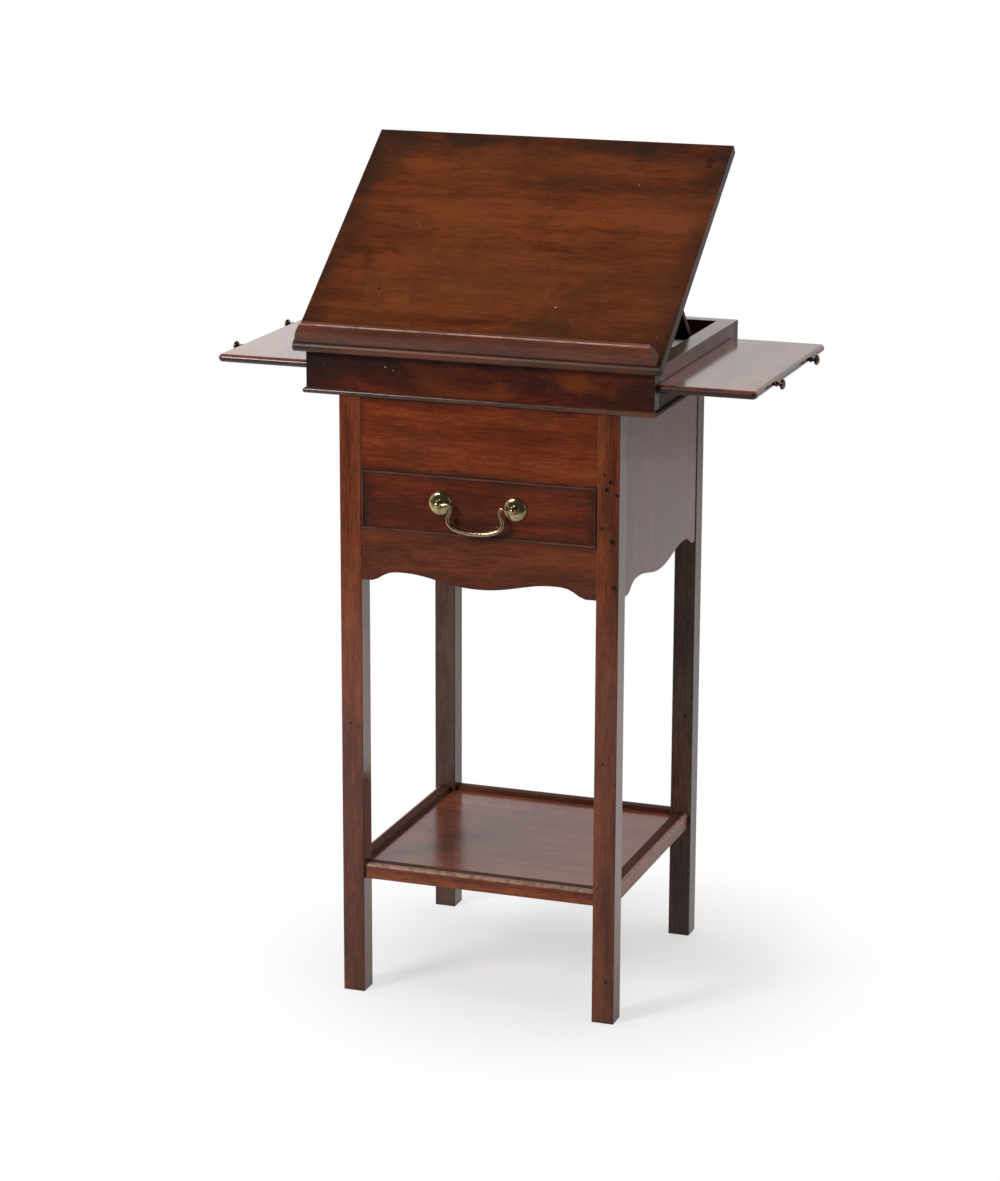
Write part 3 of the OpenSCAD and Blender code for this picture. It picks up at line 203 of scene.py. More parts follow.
def timber(name, grain, tones, gloss=0.2, bands=0.42, figure=0.25, stain=0.35,
           stain_tone=(0.045, 0.02, 0.01), edge=0.0009, worn=0.5, worn_tone=(0.20, 0.09, 0.05), tilt=0.0,
           seed=0.0, holes=(), specks=(), scratches=0.3, coat=0.1, ior=1.48, extra=None):
    """Polished wood with its grain along one axis.

    tones are its dark, middle and light colours, gloss its roughness, bands and figure the shares of wide
    and fine stripes, edge the width of its rubbed arrises, and extra adds marks of a piece's own. extra
    gets the tree, place, colour and height, and gives back colour, height and added roughness.
    """
    crevice_shade_tone = (0.012, 0.006, 0.004)
    hole_tone = (0.008, 0.004, 0.003)
    paint_tone = (0.62, 0.55, 0.48)
    dark_tone, middle_tone, light_tone = tones
    wood = bpy.data.materials.new(name)
    wood.use_nodes = True
    tree = wood.node_tree
    tree.nodes.clear()
    place = put(tree, "ShaderNodeTexCoord").outputs["Object"]
    board = put(tree, "ShaderNodeMapping", {
        "Vector": place, "Rotation": Vector(GRAIN[grain]) + Vector((tilt, 0, 0)),
        "Location": (seed, 0.37 * seed, 0.61 * seed)}).outputs[0]
    drift = noise(tree, board, (2.2, 5, 5)).outputs["Color"]
    evened = put(tree, "ShaderNodeVectorMath", {0: drift, 1: (0.5, 0.5, 0.5)}, operation="SUBTRACT")
    bend_by = put(tree, "ShaderNodeVectorMath", {0: evened.outputs[0], 1: (0.02, 0.035, 0.035)},
                  operation="MULTIPLY")
    wavy = put(tree, "ShaderNodeVectorMath", {0: board, 1: bend_by.outputs[0]}, operation="ADD").outputs[0]

    growth = noise(tree, wavy, (1.1, 26, 26), 3, 0.55, 0.4).outputs[0]
    ribbon = noise(tree, wavy, (9, 60, 60), 2, 0.5).outputs[0]
    fibre = noise(tree, wavy, (45, 480, 480), 3, 0.65).outputs[0]
    pores = noise(tree, wavy, (110, 900, 900), 1, 0.5).outputs[0]
    cloud = noise(tree, board, (5.5, 10, 10), 5, 0.6, 0.5).outputs[0]
    mottle = noise(tree, place, (48, 48, 48), 3, 0.55).outputs[0]

    plain = 1.0 - bands - figure
    streak = reckon(tree, "MULTIPLY_ADD", growth, bands, product(tree, ribbon, figure))
    streak = reckon(tree, "MULTIPLY_ADD", fibre, plain, streak)
    shade = put(tree, "ShaderNodeValToRGB", {0: eased(tree, streak, 0.36, 0.64)})
    stops = shade.color_ramp.elements
    stops[0].color = (*dark_tone, 1)
    stops[1].color = (*light_tone, 1)
    stops.new(0.5).color = (*middle_tone, 1)

    stained = product(tree, eased(tree, cloud, 0.46, 0.68), stain)
    colour = tint(tree, stained, shade.outputs[0], stain_tone)
    blotch = product(tree, eased(tree, mottle, 0.5, 0.75), 0.3)
    colour = tint(tree, blotch, colour, dark_tone)
    pore = eased(tree, pores, 0.6, 0.74)
    colour = tint(tree, product(tree, pore, 0.45), colour, [0.35 * part for part in dark_tone])

    outwards = put(tree, "ShaderNodeTexCoord").outputs["Normal"]
    facing = put(tree, "ShaderNodeVectorMath", {0: outwards, 1: ALONG[grain]}, operation="DOT_PRODUCT")
    end_grain = eased(tree, reckon(tree, "ABSOLUTE", facing.outputs["Value"]), 0.7, 0.95)
    colour = tint(tree, product(tree, end_grain, 0.6), colour, dark_tone)

    rounded = put(tree, "ShaderNodeBevel", {"Radius": edge}, samples=4).outputs[0]
    flat = put(tree, "ShaderNodeNewGeometry").outputs["Normal"]
    same = put(tree, "ShaderNodeVectorMath", {0: rounded, 1: flat}, operation="DOT_PRODUCT").outputs["Value"]
    rubbed = product(tree, eased(tree, same, 0.985, 0.8), eased(tree, mottle, 0.42, 0.66, 0.15, worn))
    colour = tint(tree, rubbed, colour, worn_tone)
    # Painted shade: ambient occlusion darkens the wood in creases, corners and recesses, and makes it a
    # little duller there.
    open_sky = put(tree, "ShaderNodeAmbientOcclusion", {"Distance": 0.012}, samples=4).outputs["AO"]
    darkening = product(tree, eased(tree, open_sky, 0.8, 0.3), 0.8)
    colour = tint(tree, darkening, colour, crevice_shade_tone)

    askew = put(tree, "ShaderNodeMapping", {"Vector": board, "Rotation": (0.3, 0.2, 0.7)}).outputs[0]
    scored = noise(tree, askew, (9, 620, 620), 0).outputs[0]
    scratch = product(tree, eased(tree, scored, 0.75, 0.8), scratches)
    colour = tint(tree, scratch, colour, [1.3 * part for part in light_tone])
    height = reckon(tree, "MULTIPLY_ADD", pore, -0.5, product(tree, scratch, -0.4))
    if holes:
        hole = spots(tree, place, holes)
        colour = tint(tree, product(tree, hole, 0.93), colour, hole_tone)
        height = reckon(tree, "MULTIPLY_ADD", hole, -1.5, height)
    if specks:
        colour = tint(tree, product(tree, spots(tree, place, specks), 0.75), colour, paint_tone)
    matt = 0.0
    if extra:
        colour, height, matt = extra(tree, place, colour, height)

    knocks = noise(tree, place, (30, 30, 30), 2).outputs[0]
    soft = put(tree, "ShaderNodeBump", {"Strength": 0.1, "Distance": 0.002, "Height": knocks,
                                        "Normal": rounded})
    fine = put(tree, "ShaderNodeBump", {"Strength": 0.3, "Distance": 0.0003, "Height": height,
                                        "Normal": soft.outputs[0]})
    fine = put(tree, "ShaderNodeBump", {"Strength": 0.1, "Distance": 0.0003, "Height": fibre,
                                        "Normal": fine.outputs[0]})
    dull = reckon(tree, "MULTIPLY_ADD", cloud, 0.1, gloss - 0.05)
    dull = reckon(tree, "MULTIPLY_ADD", reckon(tree, "ADD", darkening, rubbed), 0.2, dull)
    dull = reckon(tree, "ADD", reckon(tree, "MULTIPLY_ADD", end_grain, 0.25, dull), matt)
    polish = put(tree, "ShaderNodeBsdfPrincipled", {
        "Base Color": colour, "Roughness": dull, "Normal": fine.outputs[0], "IOR": ior,
        "Coat Weight": coat, "Coat Roughness": 0.1, "Coat Normal": soft.outputs[0]})
    put(tree, "ShaderNodeOutputMaterial", {"Surface": polish.outputs[0]})
    return wood


def finish_with(material, *names):
    for name in names:
        for seat in cad_nodes[name].material_slots:
            seat.material = material


MAHOGANY = ((0.0731, 0.0156, 0.0055), (0.1654, 0.0358, 0.0115), (0.2624, 0.0650, 0.0218))
leg_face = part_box("leg_front_right")[0][1]
front_leg_holes = [(x, leg_face, z, size) for x, z, size in (
    (0.1568, 0.6791, 0.0020), (0.1642, 0.6718, 0.0028), (0.1598, 0.6622, 0.0032), (0.1722, 0.6563, 0.0023),
    (0.1545, 0.6154, 0.0026), (0.1672, 0.6007, 0.0041), (0.1702, 0.5453, 0.0038), (0.1654, 0.0530, 0.0030),
    (0.1584, 0.3277, 0.0022), (-0.1624, 0.3464, 0.0022))]
(_, back_leg_face, _), (leg_side, _, _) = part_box("leg_back_right")
back_leg_holes = [(0.1658, back_leg_face, 0.2959, 0.0027), (leg_side, 0.157, 0.7062, 0.0022),
                  (leg_side, 0.157, 0.6905, 0.0022)]
# Dirt on the legs, and the painted dark reflection on the rails' flat tops.
DIRT_AND_DARK_REFLECTION = (0.020, 0.009, 0.006)


def floor_dirt(tree, place, colour, height):
    """Dirt towards the floor, with less of it on the left leg."""
    across, _, high = put(tree, "ShaderNodeSeparateXYZ", {0: place}).outputs
    darkening = product(tree, eased(tree, high, 0.6, 0.1, 0.0, 0.35), eased(tree, across, -0.1, 0.1, 0.35, 1.0))
    return tint(tree, darkening, colour, DIRT_AND_DARK_REFLECTION), height, 0.0


finish_with(timber("leg_mahogany", "Z", MAHOGANY, stain=0.3, coat=0.2, holes=front_leg_holes,
                   extra=floor_dirt), "leg_front_left", "leg_front_right")
# The back legs stand in the table's shadow, and their darker, greyer tones are painted shade.
SHADED_BACK_LEG = ((0.0321, 0.0152, 0.0113), (0.0727, 0.0350, 0.0240), (0.1148, 0.0638, 0.0451))
finish_with(timber("shaded_back_leg_mahogany", "Z", SHADED_BACK_LEG, gloss=0.26, stain=0.5, seed=4.2, coat=0.0, ior=1.38,
                   holes=back_leg_holes), "leg_back_left", "leg_back_right")

# Side and back panels: wide boards of the same wood, tenoned into the legs and flush with them, with the
# grain upright. The lower edge of each is sawn to two arches.
PANEL = ((0.0920, 0.0180, 0.0066), (0.1300, 0.0255, 0.0092), (0.1650, 0.0350, 0.0130))
finish_with(timber("panel_mahogany", "Z", PANEL, stain=0.15, seed=1.7, scratches=0.1, coat=0.0),
            "side_panel_left", "side_panel_right", "back_panel")

# Front panel and apron: two boards over and under the drawer, with the grain across. The upper one is
# the brightest wood of the table, and is darker round its edges and over its right half. The lower one is
# sawn to two arches like the panels.
BRIGHT = ((0.1028, 0.0173, 0.0041), (0.1966, 0.0331, 0.0070), (0.3100, 0.0651, 0.0158))


def dark_rim(node, wide, amount, right=0.0, middle=0.0):
    """Darker round the edges of one board, over its right half and at its middle."""
    low, high = (Vector(corner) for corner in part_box(node))
    middle_place, size = (low + high) / 2, (high - low) / 2
    darker_rim_tone = (0.024, 0.008, 0.005)

    def gather(tree, place, colour, height):
        off = put(tree, "ShaderNodeVectorMath", {0: place, 1: middle_place}, operation="SUBTRACT").outputs[0]
        aside = put(tree, "ShaderNodeSeparateXYZ", {0: off}).outputs["X"]
        off = put(tree, "ShaderNodeVectorMath", {0: off}, operation="ABSOLUTE").outputs[0]
        across, _, up = put(tree, "ShaderNodeSeparateXYZ", {0: off}).outputs
        rim = reckon(tree, "MAXIMUM", eased(tree, across, size.x - wide, size.x),
                     eased(tree, up, size.z - 0.6 * wide, size.z))
        uneven = eased(tree, noise(tree, place, (25, 25, 40), 3).outputs[0], 0.3, 0.65, 0.25, 1.0)
        rim = product(tree, rim, uneven, amount)
        rim = reckon(tree, "MAXIMUM", rim, eased(tree, aside, -0.02, 0.08, 0.0, right))
        rim = reckon(tree, "MAXIMUM", rim, eased(tree, across, 0.06, 0.02, 0.0, middle))
        return tint(tree, rim, colour, darker_rim_tone), height, 0.0

    return gather


finish_with(timber("front_mahogany", "X", BRIGHT, seed=3.1, extra=dark_rim("front_panel", 0.02, 0.6, 0.2)),
            "front_panel")
APRON = ((0.0500, 0.0099, 0.0035), (0.1150, 0.0238, 0.0083), (0.1812, 0.0437, 0.0149))
finish_with(timber("apron_mahogany", "X", APRON, seed=5.3), "front_apron")

# Shelf: a thin board let into grooves in four rails that are tenoned into the legs. The rails' upper
# arris is rounded over and has a pale highlight painted along it, their flat tops are dull and carry a
# painted dark reflection, and the board is polished.
RAIL = ((0.0832, 0.0180, 0.0063), (0.1840, 0.0408, 0.0135), (0.2880, 0.0720, 0.0243))
rail_out, _, rail_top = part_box("shelf_rail_right")[1]


def pale_arris(axis):
    """A painted highlight on the outer arris and a painted dark reflection on the dull top, for the rails
    that face along axis.
    """
    painted_highlight_tone = (0.46, 0.27, 0.19)

    def paint_arris_and_top(tree, place, colour, height):
        spot = put(tree, "ShaderNodeSeparateXYZ", {0: place}).outputs
        outer = eased(tree, reckon(tree, "ABSOLUTE", spot[axis]), rail_out - 0.0055, rail_out - 0.003)
        upper = eased(tree, spot["Z"], rail_top - 0.0050, rail_top - 0.0022)
        uneven = eased(tree, noise(tree, place, (160, 160, 160), 3).outputs[0], 0.35, 0.6, 0.35, 0.75)
        # Painted highlight: a pale band along the outer arris.
        colour = tint(tree, product(tree, outer, upper, uneven), colour, painted_highlight_tone)
        # Painted dark reflection: the flat top is darkened and made duller.
        dark_reflection_top = eased(tree, spot["Z"], rail_top - 0.002, rail_top - 0.0005)
        dark_reflection_top = product(tree, reckon(tree, "SUBTRACT", 1.0, outer), dark_reflection_top, 0.7)
        return tint(tree, dark_reflection_top, colour, DIRT_AND_DARK_REFLECTION), height, product(tree, dark_reflection_top, 0.7)

    return paint_arris_and_top


finish_with(timber("shelf_rail_x", "X", RAIL, gloss=0.26, seed=2.2, coat=0.0, ior=1.42,
                   extra=pale_arris("Y")), "shelf_rail_front", "shelf_rail_back")
finish_with(timber("shelf_rail_y", "Y", RAIL, gloss=0.36, seed=2.9, coat=0.0, ior=1.4,
                   extra=pale_arris("X")), "shelf_rail_left", "shelf_rail_right")
SHELF = ((0.1300, 0.0300, 0.0150), (0.2000, 0.0460, 0.0205), (0.2650, 0.0650, 0.0280))
finish_with(timber("shelf_mahogany", "X", SHELF, gloss=0.19, bands=0.35, stain=0.25, seed=7.4, coat=0.0,
                   ior=1.45), "shelf_board")

# Top box: four thick walls, almost black with old polish, with red patches where the colour of the wood
# comes through and a few specks of white paint. The top edges are paler, and the sides have painted
# shade, nearly black, under the slides, where they are also duller.
BOX = ((0.0280, 0.0089, 0.0051), (0.0880, 0.0144, 0.0063), (0.2100, 0.0261, 0.0076))
BLACK_POLISH = (0.016, 0.008, 0.006)
(_, box_face, _), (_, _, box_top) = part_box("box_front")
paint = [(x, box_face, z, size) for x, z, size in (
    (-0.1933, 0.7877, 0.0008), (-0.2112, 0.7769, 0.0006), (-0.1154, 0.7888, 0.0010),
    (-0.1056, 0.7850, 0.0007), (-0.1920, 0.7727, 0.0006))]


# The top edges are painted paler.
def paler_top(tree, high, colour):
    pale_top_tone = (0.28, 0.20, 0.16)
    return tint(tree, eased(tree, high, box_top - 0.0009, box_top - 0.0003, 0.0, 0.5), colour, pale_top_tone)


def old_polish(tree, place, colour, height):
    """Red where the polish is thin, most of it at the right, and black towards both ends."""
    red_tone, black_tone = (0.17, 0.036, 0.008), (0.020, 0.011, 0.009)
    across, _, high = put(tree, "ShaderNodeSeparateXYZ", {0: place}).outputs
    thin = eased(tree, noise(tree, place, (8, 8, 20), 4, 0.6, 0.6).outputs[0], 0.42, 0.62)
    thin = product(tree, thin, eased(tree, across, -0.17, 0.1, 0.15, 0.95))
    colour = tint(tree, thin, colour, red_tone)
    ends = eased(tree, reckon(tree, "ABSOLUTE", across), 0.12, 0.205, 0.0, 0.85)
    ends = product(tree, ends, eased(tree, across, 0.0, 0.1, 1.0, 0.6))
    return paler_top(tree, high, tint(tree, ends, colour, black_tone)), height, 0.0


finish_with(timber("box_mahogany", "X", BOX, gloss=0.18, stain=0.6, stain_tone=BLACK_POLISH, specks=paint,
                   seed=9.2, extra=old_polish), "box_front", "box_back")


def under_slide(tree, place, colour, height):
    """Painted shade under the slide: the side is nearly black there, and duller."""
    black_tone = (0.014, 0.007, 0.006)
    high = put(tree, "ShaderNodeSeparateXYZ", {0: place}).outputs["Z"]
    low = product(tree, eased(tree, high, 0.788, 0.776), 0.5)
    return paler_top(tree, high, tint(tree, low, colour, black_tone)), height, low


finish_with(timber("box_side_mahogany", "Y", BOX, gloss=0.18, stain=0.5, seed=4.4, coat=0.0, ior=1.41,
                   extra=under_slide), "box_side_left", "box_side_right")

# Base moulding: a round-nosed moulding glued and pinned round the foot of the box, mitred at the front
# corners, with a fine worn arris. The two returns are painted blacker as shade, and are duller.
MOULDING = ((0.0400, 0.0130, 0.0080), (0.0850, 0.0260, 0.0150), (0.1400, 0.0500, 0.0290))
finish_with(timber("moulding_x", "X", MOULDING, edge=0.0005, coat=0.0, seed=6.0), "moulding_front")
SHADED_MOULDING = ((0.0160, 0.0070, 0.0050), (0.0340, 0.0130, 0.0080), (0.0560, 0.0230, 0.0150))
finish_with(timber("moulding_y", "Y", SHADED_MOULDING, gloss=0.5, edge=0.0005, coat=0.0, ior=1.25, seed=6.6),
            "moulding_left", "moulding_right")

# Well and strut: the well's floor, the two strips of ratchet teeth on it, and the strut with two stiles
# and two rails whose round feet stand in the teeth. All of it lies under the slope and is painted dark
# as shade, and it is less polished.
SHADED_WELL = ((0.012, 0.0065, 0.0050), (0.028, 0.0120, 0.0080), (0.055, 0.0230, 0.0135))
finish_with(timber("well_mahogany", "X", SHADED_WELL, gloss=0.12, seed=8.1), "well_floor")
finish_with(timber("strip_mahogany", "Y", SHADED_WELL, gloss=0.34, edge=0.0003, seed=8.8), "ratchet_left",
            "ratchet_right")
finish_with(timber("strut_mahogany", "Z", SHADED_WELL, gloss=0.5, coat=0.0, ior=1.35, seed=1.2), "strut_stiles")
finish_with(timber("strut_rail_mahogany", "X", SHADED_WELL, gloss=0.5, coat=0.0, ior=1.35, seed=1.9), "strut_rails")

# Candle slides: a board with round edges on three sides, drawn out of each side of the box, with a cleat
# along its back edge. The grain runs from front to back. The top is flat and glossy; the underside and the
# lower part of the edges are painted near black as shade.
cleat_line = 0.1130
slide_end, _, slide_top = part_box("slide_right")[1]


def cleat(tree, place, colour, height):
    """The joint of the cleat, and painted shade, near black, on the underside and the lower part of the
    edges.
    """
    black_tone, joint_tone = (0.016, 0.007, 0.007), (0.012, 0.005, 0.004)
    _, across, high = put(tree, "ShaderNodeSeparateXYZ", {0: place}).outputs
    painted_shade_below = eased(tree, high, slide_top - 0.0011, slide_top - 0.0037, 0.0, 0.85)
    colour = tint(tree, painted_shade_below, colour, black_tone)
    off = reckon(tree, "ABSOLUTE", reckon(tree, "SUBTRACT", across, cleat_line))
    joint = eased(tree, off, 0.0007, 0.0002)
    colour = tint(tree, product(tree, joint, 0.8), colour, joint_tone)
    return colour, reckon(tree, "MULTIPLY_ADD", joint, -1.0, height), 0.0


SLIDE = ((0.0874, 0.0224, 0.0117), (0.1725, 0.0432, 0.0208), (0.2760, 0.0752, 0.0351))
slide_holes = [(0.2620, -0.0780, slide_top, 0.0011), (0.2640, -0.0850, slide_top, 0.0009),
               (0.3160, -0.0100, slide_top, 0.0009)]
finish_with(timber("slide_mahogany", "Y", SLIDE, gloss=0.13, stain=0.25, seed=3.7, coat=0.5,
                   holes=slide_holes, extra=cleat), "slide_left", "slide_right")


# Slide knobs: small turned brass pulls with a shank and a round head, two in the end of each slide,
# brown and dark with age.
def metal(name, bright, tarnish, rough, cover=0.5, uneven=0.12):
    """Old brass. cover is how much of it is tarnished, and uneven how wavy its face is."""
    cast = bpy.data.materials.new(name)
    cast.use_nodes = True
    tree = cast.node_tree
    tree.nodes.clear()
    place = put(tree, "ShaderNodeTexCoord").outputs["Object"]
    blotch = noise(tree, place, (140, 140, 140), 4, 0.6).outputs[0]
    fine = noise(tree, place, (950, 950, 950), 2).outputs[0]
    open_sky = put(tree, "ShaderNodeAmbientOcclusion", {"Distance": 0.004}, samples=4).outputs["AO"]
    brown = product(tree, eased(tree, blotch, 0.42, 0.66), cover)
    brown = reckon(tree, "MAXIMUM", brown, eased(tree, open_sky, 0.75, 0.25, 0.0, 0.9))
    colour = tint(tree, brown, (*bright, 1), tarnish)
    bumps = put(tree, "ShaderNodeBump", {"Strength": uneven, "Distance": 0.0003, "Height": blotch})
    bumps = put(tree, "ShaderNodeBump", {"Strength": uneven / 2, "Distance": 0.0001, "Height": fine,
                                         "Normal": bumps.outputs[0]})
    shine = put(tree, "ShaderNodeBsdfPrincipled", {
        "Base Color": colour, "Roughness": reckon(tree, "MULTIPLY_ADD", brown, 0.25, rough),
        "Metallic": 1.0, "Normal": bumps.outputs[0]})
    put(tree, "ShaderNodeOutputMaterial", {"Surface": shine.outputs[0]})
    return cast


def softened(profile, radius):
    """A turner's profile with each inner corner rounded by a small curve."""
    points = [Vector(profile[0])]
    for before, corner, after in zip(profile, profile[1:], profile[2:]):
        before, corner, after = Vector(before), Vector(corner), Vector(after)
        reach_in = min(radius, 0.45 * (before - corner).length)
        reach_out = min(radius, 0.45 * (after - corner).length)
        start = corner + (before - corner).normalized() * reach_in
        end = corner + (after - corner).normalized() * reach_out
        for share in (0.0, 0.33, 0.67, 1.0):
            points.append((1 - share) ** 2 * start + 2 * share * (1 - share) * corner + share**2 * end)
    return points + [Vector(profile[-1])]


def turned(name, profile, out, radius=0.0004, sides=40):
    """A piece turned on a lathe. profile holds pairs of radius and distance along out, in millimetres."""
    shape = bmesh.new()
    turn = Vector(out).to_track_quat("Z", "Y")
    rings = []
    for across, along in softened([(across / 1000, along / 1000) for across, along in profile], radius):
        if across < 1e-6:
            rings.append([shape.verts.new(turn @ Vector((0, 0, along)))])
            continue
        ring = []
        for step in range(sides):
            angle = 2 * math.pi * step / sides
            spot = Vector((across * math.cos(angle), across * math.sin(angle), along))
            ring.append(shape.verts.new(turn @ spot))
        rings.append(ring)
    for low, high in zip(rings, rings[1:]):
        for step in range(sides):
            after = step + 1
            corners = [low[step % len(low)], low[after % len(low)], high[after % len(high)],
                       high[step % len(high)]]
            shape.faces.new(dict.fromkeys(corners))
    for ring, flip in ((rings[0], True), (rings[-1], False)):
        if len(ring) > 1:
            shape.faces.new(ring[::-1] if flip else ring)
    bmesh.ops.recalc_face_normals(shape, faces=shape.faces)
    for face in shape.faces:
        face.smooth = True
    mesh = bpy.data.meshes.new(name)
    shape.to_mesh(mesh)
    shape.free()
    return mesh


def named_inputs(tree, kinds, result):
    """Gives a node tree its named inputs and its one result, and returns the inputs' identifiers."""
    keys = {}
    for label, kind in kinds.items():
        socket = tree.interface.new_socket(label, in_out="INPUT", socket_type="NodeSocket" + kind)
        keys[label] = socket.identifier
    tree.interface.new_socket(result, in_out="OUTPUT", socket_type="NodeSocketGeometry")
    return keys


def grown(name, mesh, tree, inputs):
    """Runs a node tree on a mesh and returns a new object that holds the result as a plain mesh."""
    helper = bpy.data.objects.new(name + "_helper", mesh)
    bpy.context.scene.collection.objects.link(helper)
    maker = helper.modifiers.new("make", "NODES")
    maker.node_group = tree
    for key, value in inputs.items():
        maker[key] = value
    ready = helper.evaluated_get(bpy.context.evaluated_depsgraph_get())
    made = bpy.data.objects.new(name, bpy.data.meshes.new_from_object(ready))
    helper.modifiers.clear()
    bpy.data.objects.remove(helper)
    bpy.context.scene.collection.objects.link(made)
    return made


def set_out(name, mesh, finish, first, step, count=2):
    """Copies of one piece in a row, joined as one mesh that is placed where the row is."""
    tree = bpy.data.node_groups.new(name + "_row", "GeometryNodeTree")
    kinds = {"Piece": "Geometry", "Count": "Int", "First": "Vector", "Step": "Vector", "Finish": "Material"}
    keys = named_inputs(tree, kinds, "Row")
    given = tree.nodes.new("NodeGroupInput").outputs
    row = put(tree, "GeometryNodeMeshLine", {"Count": given["Count"], "Start Location": given["First"],
                                             "Offset": given["Step"]})
    copies = put(tree, "GeometryNodeInstanceOnPoints", {"Points": row.outputs[0],
                                                        "Instance": given["Piece"]})
    real = put(tree, "GeometryNodeRealizeInstances", {"Geometry": copies.outputs[0]})
    coated = put(tree, "GeometryNodeSetMaterial", {"Geometry": real.outputs[0], "Material": given["Finish"]})
    put(tree, "NodeGroupOutput", {"Row": coated.outputs[0]})
    sizes = {"Count": count, "First": Vector(first), "Step": Vector(step), "Finish": finish}
    return grown(name, mesh, tree, {keys[label]: value for label, value in sizes.items()})


def curve(middle, wide, high, degrees):
    """Points of a profile on an ellipse round middle, at each of the given degrees."""
    across, along = middle
    return [(across + wide * math.cos(math.radians(turn)), along + high * math.sin(math.radians(turn)))
            for turn in degrees]


# The profile goes out from the shank in the slide, over a ring and the neck, to the round head.
KNOB = [(1.8, -9), (1.8, 0), *curve((2.1, 2.2), 1.2, 2.2, range(-90, 91, 15)),
        *curve((0, 9.5), 6.45, 3.35, range(-70, 90, 10)), (0, 12.85)]
first_knob, knob_spacing, knob_height = -0.09, 0.16, 0.7835
knob_brass = metal("knob_brass", bright=(0.17, 0.11, 0.07), tarnish=(0.028, 0.018, 0.013), rough=0.2,
                   cover=0.8)
for side, way in (("left", -1), ("right", 1)):
    knobs = set_out("knobs_" + side, turned("knob_" + side, KNOB, (way, 0, 0)), knob_brass,
                    (way * slide_end, first_knob, knob_height), (0, knob_spacing, 0))
    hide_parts("slide_knobs_" + side)
    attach(knobs, "slide_" + side)

# Slope: one wide board with its grain across and round edges, hinged at the front of the box. Ink, damp
# and handling have left dark clouds, scratches and pale specks, and a plug is let in at the top right.
lean = math.radians(36.7)
SLOPE = ((0.0528, 0.0103, 0.0019), (0.1057, 0.0207, 0.0034), (0.1593, 0.0358, 0.0057))
slope_axis = Vector((0, -0.1795, 0.8065))
slope_thick = 0.0125
plug_middle = (0.2052, 0.3271)
plug_half = (0.0042, 0.0078)


def on_slope(tree, place):
    """Gives the place across, up and out of the slope, measured from its hinge."""
    off = put(tree, "ShaderNodeVectorMath", {0: place, 1: slope_axis}, operation="SUBTRACT").outputs[0]
    flat = put(tree, "ShaderNodeVectorRotate", {"Vector": off, "Angle": -lean}, rotation_type="X_AXIS")
    return put(tree, "ShaderNodeSeparateXYZ", {0: flat.outputs[0]}).outputs


def handled(tree, place, colour, height):
    """Clouds of damp and handling, darker edges, and the dark plug."""
    warm_tone, rim_tone, cloud_tone = (0.160, 0.0460, 0.0080), (0.022, 0.010, 0.006), (0.030, 0.013, 0.005)
    plug_tone = (0.016, 0.006, 0.004)
    spot = on_slope(tree, place)
    cloudy = noise(tree, place, (8, 10, 10), 5, 0.62, 0.5).outputs[0]
    warm = noise(tree, place, (5, 6, 6), 2).outputs[0]
    colour = tint(tree, eased(tree, warm, 0.42, 0.62, 0.0, 0.18), colour, warm_tone)
    sides = eased(tree, reckon(tree, "ABSOLUTE", spot[0]), 0.185, 0.228)
    rim = reckon(tree, "MAXIMUM", sides, eased(tree, spot[1], 0.30, 0.352))
    rim = product(tree, rim, eased(tree, cloudy, 0.35, 0.6, 0.35, 0.9))
    colour = tint(tree, rim, colour, rim_tone)
    colour = tint(tree, eased(tree, cloudy, 0.48, 0.68, 0.0, 0.6), colour, cloud_tone)
    held = product(tree, eased(tree, spot[0], 0.0, 0.15), eased(tree, spot[1], 0.25, 0.12, 0.0, 0.18))
    colour = tint(tree, held, colour, cloud_tone)
    inside = 0.6
    for distance, middle, half in zip(spot, plug_middle, plug_half):
        off = reckon(tree, "ABSOLUTE", reckon(tree, "SUBTRACT", distance, middle))
        inside = product(tree, inside, eased(tree, off, half + 0.0008, half - 0.0004))
    colour = tint(tree, inside, colour, plug_tone)
    return colour, height, eased(tree, spot[1], -0.001, -0.004, 0.0, 0.25)


def mark(across, up, size):
    """A round mark on the slope's top, given across and up from its hinge."""
    return (*(slope_axis + Matrix.Rotation(lean, 3, "X") @ Vector((across, up, slope_thick))), size)


slope_specks = [
    mark(-0.1274, 0.1956, 0.0006), mark(0.1274, 0.2849, 0.0008), mark(0.0996, 0.2243, 0.0006),
    mark(0.1261, 0.2014, 0.0006), mark(-0.0020, 0.1402, 0.0006), mark(0.0781, 0.0771, 0.0012),
    mark(0.2109, 0.0411, 0.0007), mark(0.1937, 0.1894, 0.0006),
]
finish_with(timber("slope_mahogany", "X", SLOPE, bands=0.32, figure=0.33, stain_tone=(0.040, 0.016, 0.006),
                   tilt=-lean, holes=[mark(-0.1472, 0.0896, 0.0024)], specks=slope_specks,
                   scratches=0.4, extra=handled, seed=2.5), "slope_board")

# Book ledge: a moulding with a fine worn arris over a hollow face, mitred and returned at both ends,
# glued on the slope. It is browner than the slope, and chipped at the right mitre. A pale line is
# painted along its front arris and down both ends as a highlight.
LEDGE = ((0.0718, 0.0196, 0.0095), (0.1276, 0.0335, 0.0153), (0.1993, 0.0554, 0.0261))
arris_up, arris_side, arris_out = 0.0026, 0.2142, 0.0369


